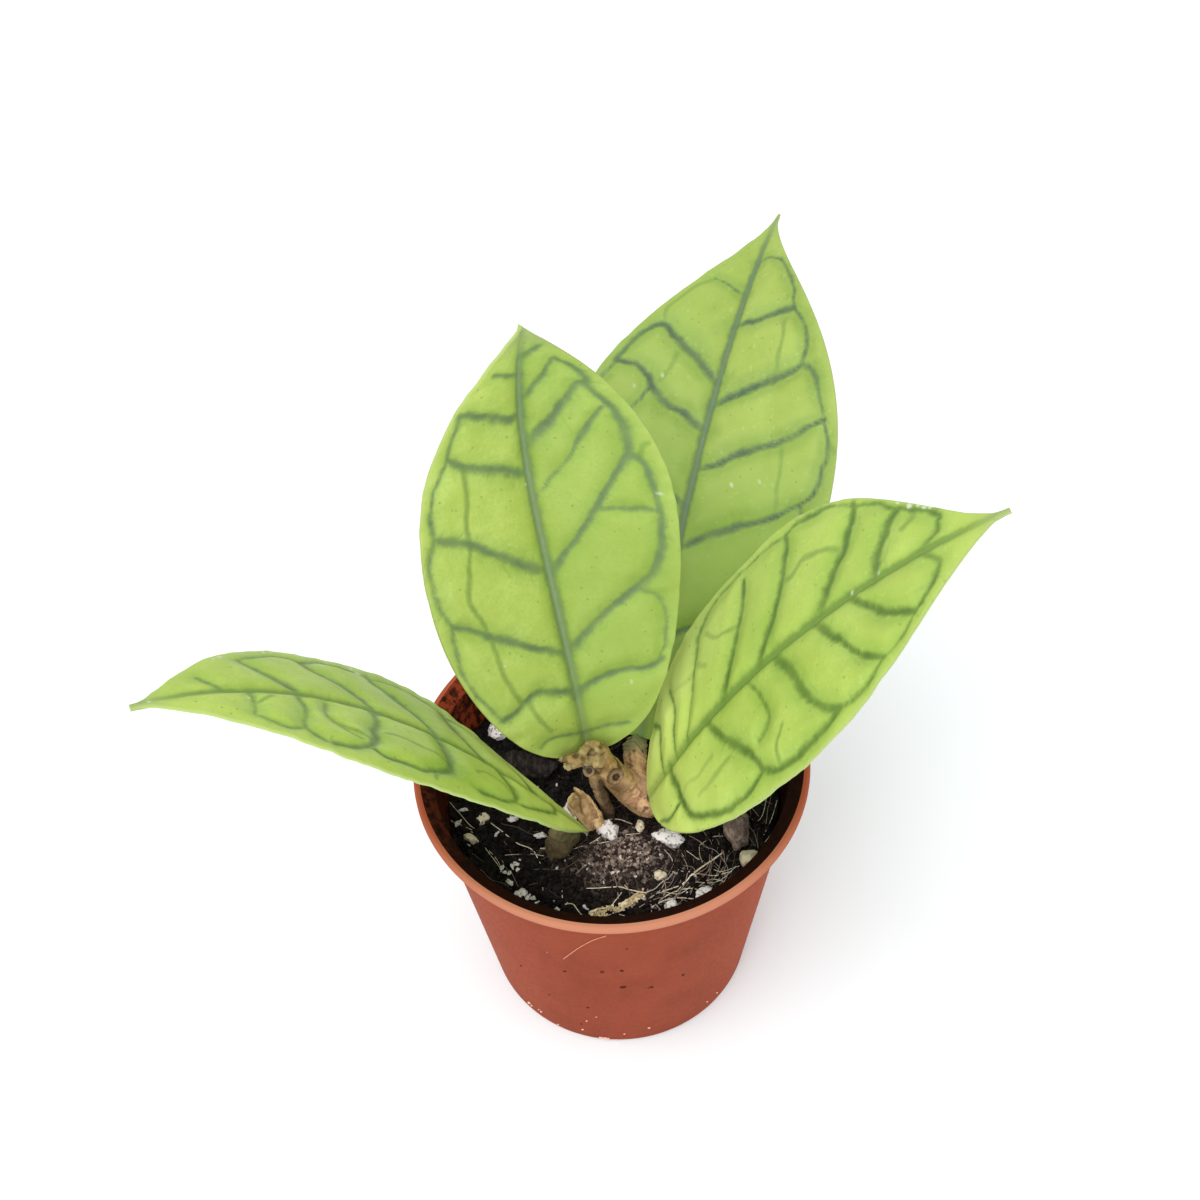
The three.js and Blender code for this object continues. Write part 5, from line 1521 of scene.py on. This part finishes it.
def shootShape():
    # one limb, fused, then pushed along its normals by bark noise, creased and greener near its leaf
    limb = tube(petioleTo(leaves["leafD"], shoot["limb"], shoot["under"]), 24, 8, 0.08, 51)
    points, normals, faces = fused([limb], shoot["cell"])
    push = relief(points, shoot["bark"])
    zero = np.zeros(len(points))
    marks = {
        "pale": zero, "young": ease(50, 53.5, points[:, 2]) * 0.6, "blush": zero, "grey": zero, "knob": zero,
        "fold": ease(0.3, 0.8, roughNoise(points, 1.2, 2, 61)) * 0.7,
    }
    return points + normals * push[:, None], faces, marks


def bractShape():
    # An open curl round a leaning line. Its radius goes from narrow foot to wide belly to top, its top edge
    # is cut on a slant, and it is crumpled by noise and by a few upright creases.
    low = np.array([*bract["foot"], float(soilTop(*bract["foot"])) - bract["buried"]])
    high = np.array(bract["top"])
    up = np.linspace(0, 1, bract["rows"])[:, None]
    start, end = np.radians(bract["curl"])
    end = end + math.radians(bract["flare"]) * ease(0.6, 0.9, up)
    turn = start + (end - start) * np.linspace(0, 1, bract["columns"])[None]
    up = np.broadcast_to(up, turn.shape)
    foot, belly, top = bract["radii"]
    radius = foot + (belly - foot) * ease(-0.1, 0.75, up) + (top - belly) * ease(0.7, 1, up)
    ring = np.stack([np.cos(turn), np.sin(turn), np.zeros(turn.shape)], -1)
    slant = bract["rise"] * (np.cos(1.1 * (turn - math.radians(bract["highAt"]))) - 0.35)
    middle = low + (high - low) * up[..., None]
    middle = middle + np.stack([0 * up, 0 * up, up ** 1.5 * slant], -1)
    crumple = bract["crumple"] * roughNoise(middle + ring * 2.4, 2.3, 3, 72)
    crease = np.exp(-((turn - 2.3 - 0.25 * noise(middle, 2.0, 77)) / 0.16) ** 2) * ease(0.25, 0.6, up)
    crease = np.maximum(crease, 0.35 * np.exp(-((turn - 0.9 - 0.5 * up) / 0.12) ** 2) * ease(0.3, 0.6, up))
    edge = bract["roughEdge"] * roughNoise(ring * 4 + up[..., None], 1.1, 2, 73) * ease(0.7, 1, up)
    fromEdge = np.minimum(np.minimum(turn - start, end - turn) * radius, (1 - up) * 9)
    half = 0.1 + 0.5 * (bract["thickness"] - 0.2) * ease(0, 1.2, fromEdge)
    reach = radius + crumple + edge - bract["creaseDepth"] * crease
    outer = middle + ring * (reach + half)[..., None]
    inner = middle + ring * (reach - half)[..., None]
    # painted shade in the creases and on the strongest crumples
    folded = np.maximum(ease(0.35, 0.9, np.abs(crumple) / 0.3) * 0.5, crease)
    return plate(inner, outer, {"margin": 1 - ease(0, 1.1, fromEdge), "fold": folded})


# Camera and lights


def standing(place, right, up, back):
    # the matrix of an object at a place, with its own X, Y and Z along these directions
    pose = np.eye(4)
    pose[:3, :3] = np.stack([right, up, back], -1)
    pose[:3, 3] = np.array(place) * mm
    return Matrix(pose.tolist())


def placeCamera():
    # looks down by the tilt; right and up are turned by the roll about the line of sight
    camera = addToScene("camera", bpy.data.cameras.new("camera"))
    camera.data.lens = view["lens"]
    camera.data.sensor_width = view["sensor"]
    camera.data.clip_start = 0.01
    tilt, roll = math.radians(view["downwards"]), math.radians(view["roll"])
    ahead = np.array([0, math.cos(tilt), -math.sin(tilt)])
    levelRight, levelUp = np.array([1.0, 0, 0]), np.array([0, math.sin(tilt), math.cos(tilt)])
    right = math.cos(roll) * levelRight + math.sin(roll) * levelUp
    camera.matrix_world = standing(view["place"], right, np.cross(right, ahead), -ahead)
    bpy.context.scene.camera = camera


def softBox(name, place, size, power):
    # a square area light that faces the plant
    lamp = bpy.data.lights.new(name, "AREA")
    lamp.shape = "SQUARE"
    lamp.size = size * mm
    lamp.energy = power
    aim = np.array(light["aim"]) - np.array(place, float)
    aim /= np.linalg.norm(aim)
    side = np.cross(aim, [0, 0, 1.0])
    side /= np.linalg.norm(side)
    addToScene(name, lamp).matrix_world = standing(place, side, np.cross(side, aim), -aim)


def sunAndSky():
    # a wide, soft sun and an even white sky
    sunLamp = bpy.data.lights.new("sun", "SUN")
    sunLamp.energy = light["sunPower"]
    sunLamp.angle = math.radians(light["sunWidth"])
    sun = addToScene("sun", sunLamp)
    sun.rotation_euler = Vector(light["sunFrom"]).to_track_quat("Z", "Y").to_euler()
    sky = bpy.data.worlds.new("sky")
    sky.use_nodes = True
    sky.node_tree.nodes["Background"].inputs["Color"].default_value = (1, 1, 1, 1)
    sky.node_tree.nodes["Background"].inputs["Strength"].default_value = light["sky"]
    bpy.context.scene.world = sky


# Build

print("leaves")
for number, (name, leaf) in enumerate(leaves.items()):
    leafMaterial = waxyLeaf(name + "Wax", *leaf["colours"])
    piece(name, leafShape(leaf, 100 + 20 * number), leafMaterial, [leaf["node"]])

print("pot")
drillDrains(piece("nurseryPot", potShape(), mouldedPlastic(), ["pot"]))
driedSoil = roughWood("driedSoil", "#6a2e1e", "#33130b")
limeDust = porousStone("limeDust", "#e3bba6", "#c08468", 0.6, 0.05)
piece("wallCrumbs", stuckShape(onWall["crumbs"], 0.8, 0.2, 200), driedSoil)
piece("wallDust", stuckShape(onWall["dust"], 0.7, 0.3, 230), limeDust)
hair = [(*wallPlace(x, z, onWall["hairOut"]), onWall["hairRadius"]) for x, z in onWall["hair"]]
piece("wallHair", tube(hair, 6, 5), dryFibre("orangeFibre", "#e0a07c", "#c98a66"))

print("soil")
rng = np.random.default_rng(soil["seed"])
crumbs = crumbMaterial()
piece("pottingSoil", soilShape(), pottingPeat(), ["soil"])
piece("soilCrumbs", crumbShapes(rng), crumbs)
piece("soilFibres", joined([shape for bed in fibreBeds for shape in strewn(rng, *bed)]), crumbs)

print("stem")
stemBark = corkyBark("corkyBark", "#c09c6c", "#98764b", "#6c7648")
# the side shoot's bark: olive of its own, and painted darker as shade where it lies under leaf D
shootBark = corkyBark("shadedOliveBark", "#675a3b", "#463b27", "#6a6540")
piece("woodyStem", stemShape(), stemBark, ["stem"])
piece("sideShoot", shootShape(), shootBark, ["side_shoot"])
piece("dryBract", bractShape(), driedHusk(), ["dry_bract"])

print("grains")
stones = {
    "perlite": (porousStone("perlite", "#e2dbd9", "#938884", 0.6, 0.25), "perlite"),
    "grit": (porousStone("creamGrit", "#dccdb2", "#957f62", 0.8, 0.12), "grit"),
    "pebble": (porousStone("creamPebble", "#d6c7ab", "#a08f72", 1.3, 0.06), "grit"),
    "bark": (roughWood("greyBark", "#a18e82", "#62524a"), "bark"),
    "darkBark": (roughWood("wetBark", "#3a322e", "#0f0c0a"), "bark"),
}
for number, (name, (node, at, half, turn, kind)) in enumerate(grains.items()):
    roughness, size = grainLook[kind]
    shape = grainShape(at, half, turn, roughness, size, number)
    piece(name, shape, stones[kind][0], [node])
dots = joined([speckShape(number, *speck) for number, speck in enumerate(specks)])
piece("perliteSpecks", dots, porousStone("perliteCrumbs", "#d5cfca", "#8b817c", 0.5, 0.15))

print("roots")
straw = dryFibre("strawRoot", "#efe5d2", "#cdb997")
fuzz = dryFibre("fuzzyRoot", "#efdeb9", "#c4ac82")
for name, (node, knots) in roots.items():
    piece(name, tube(drape(knots, 0.15), 10, 3, 0.12, 80), straw, [node])
piece("rootFrayed", frayedShape(rng), fuzz, [frayedRoot["node"]])
strands = [tube(drape([(x, y, 0.7 * radius) for x, y in places], 0.2), 6, 2) for places, radius in threads]
piece("paleThreads", joined(strands), straw)

print("camera, light and floor")
paper, tree, _ = newMaterial("whitePaper")
finishMaterial(tree, colour(sheet["colour"]), 0.95)
far, low = sheet["reach"], -sheet["drop"]
corners = np.array([(-far, -far, low), (far, -far, low), (far, far, low), (-far, far, low)])
floorPlane = meshObject("floor", (corners, [np.array([[0, 1, 2, 3]])], {}), paper)

placeCamera()
softBox("fillBox", light["fillPlace"], light["fillSize"], light["fillPower"])
softBox("sideBox", light["sidePlace"], light["sideSize"], light["sidePower"])
sunAndSky()
bpy.context.scene.view_settings.view_transform = "Standard"
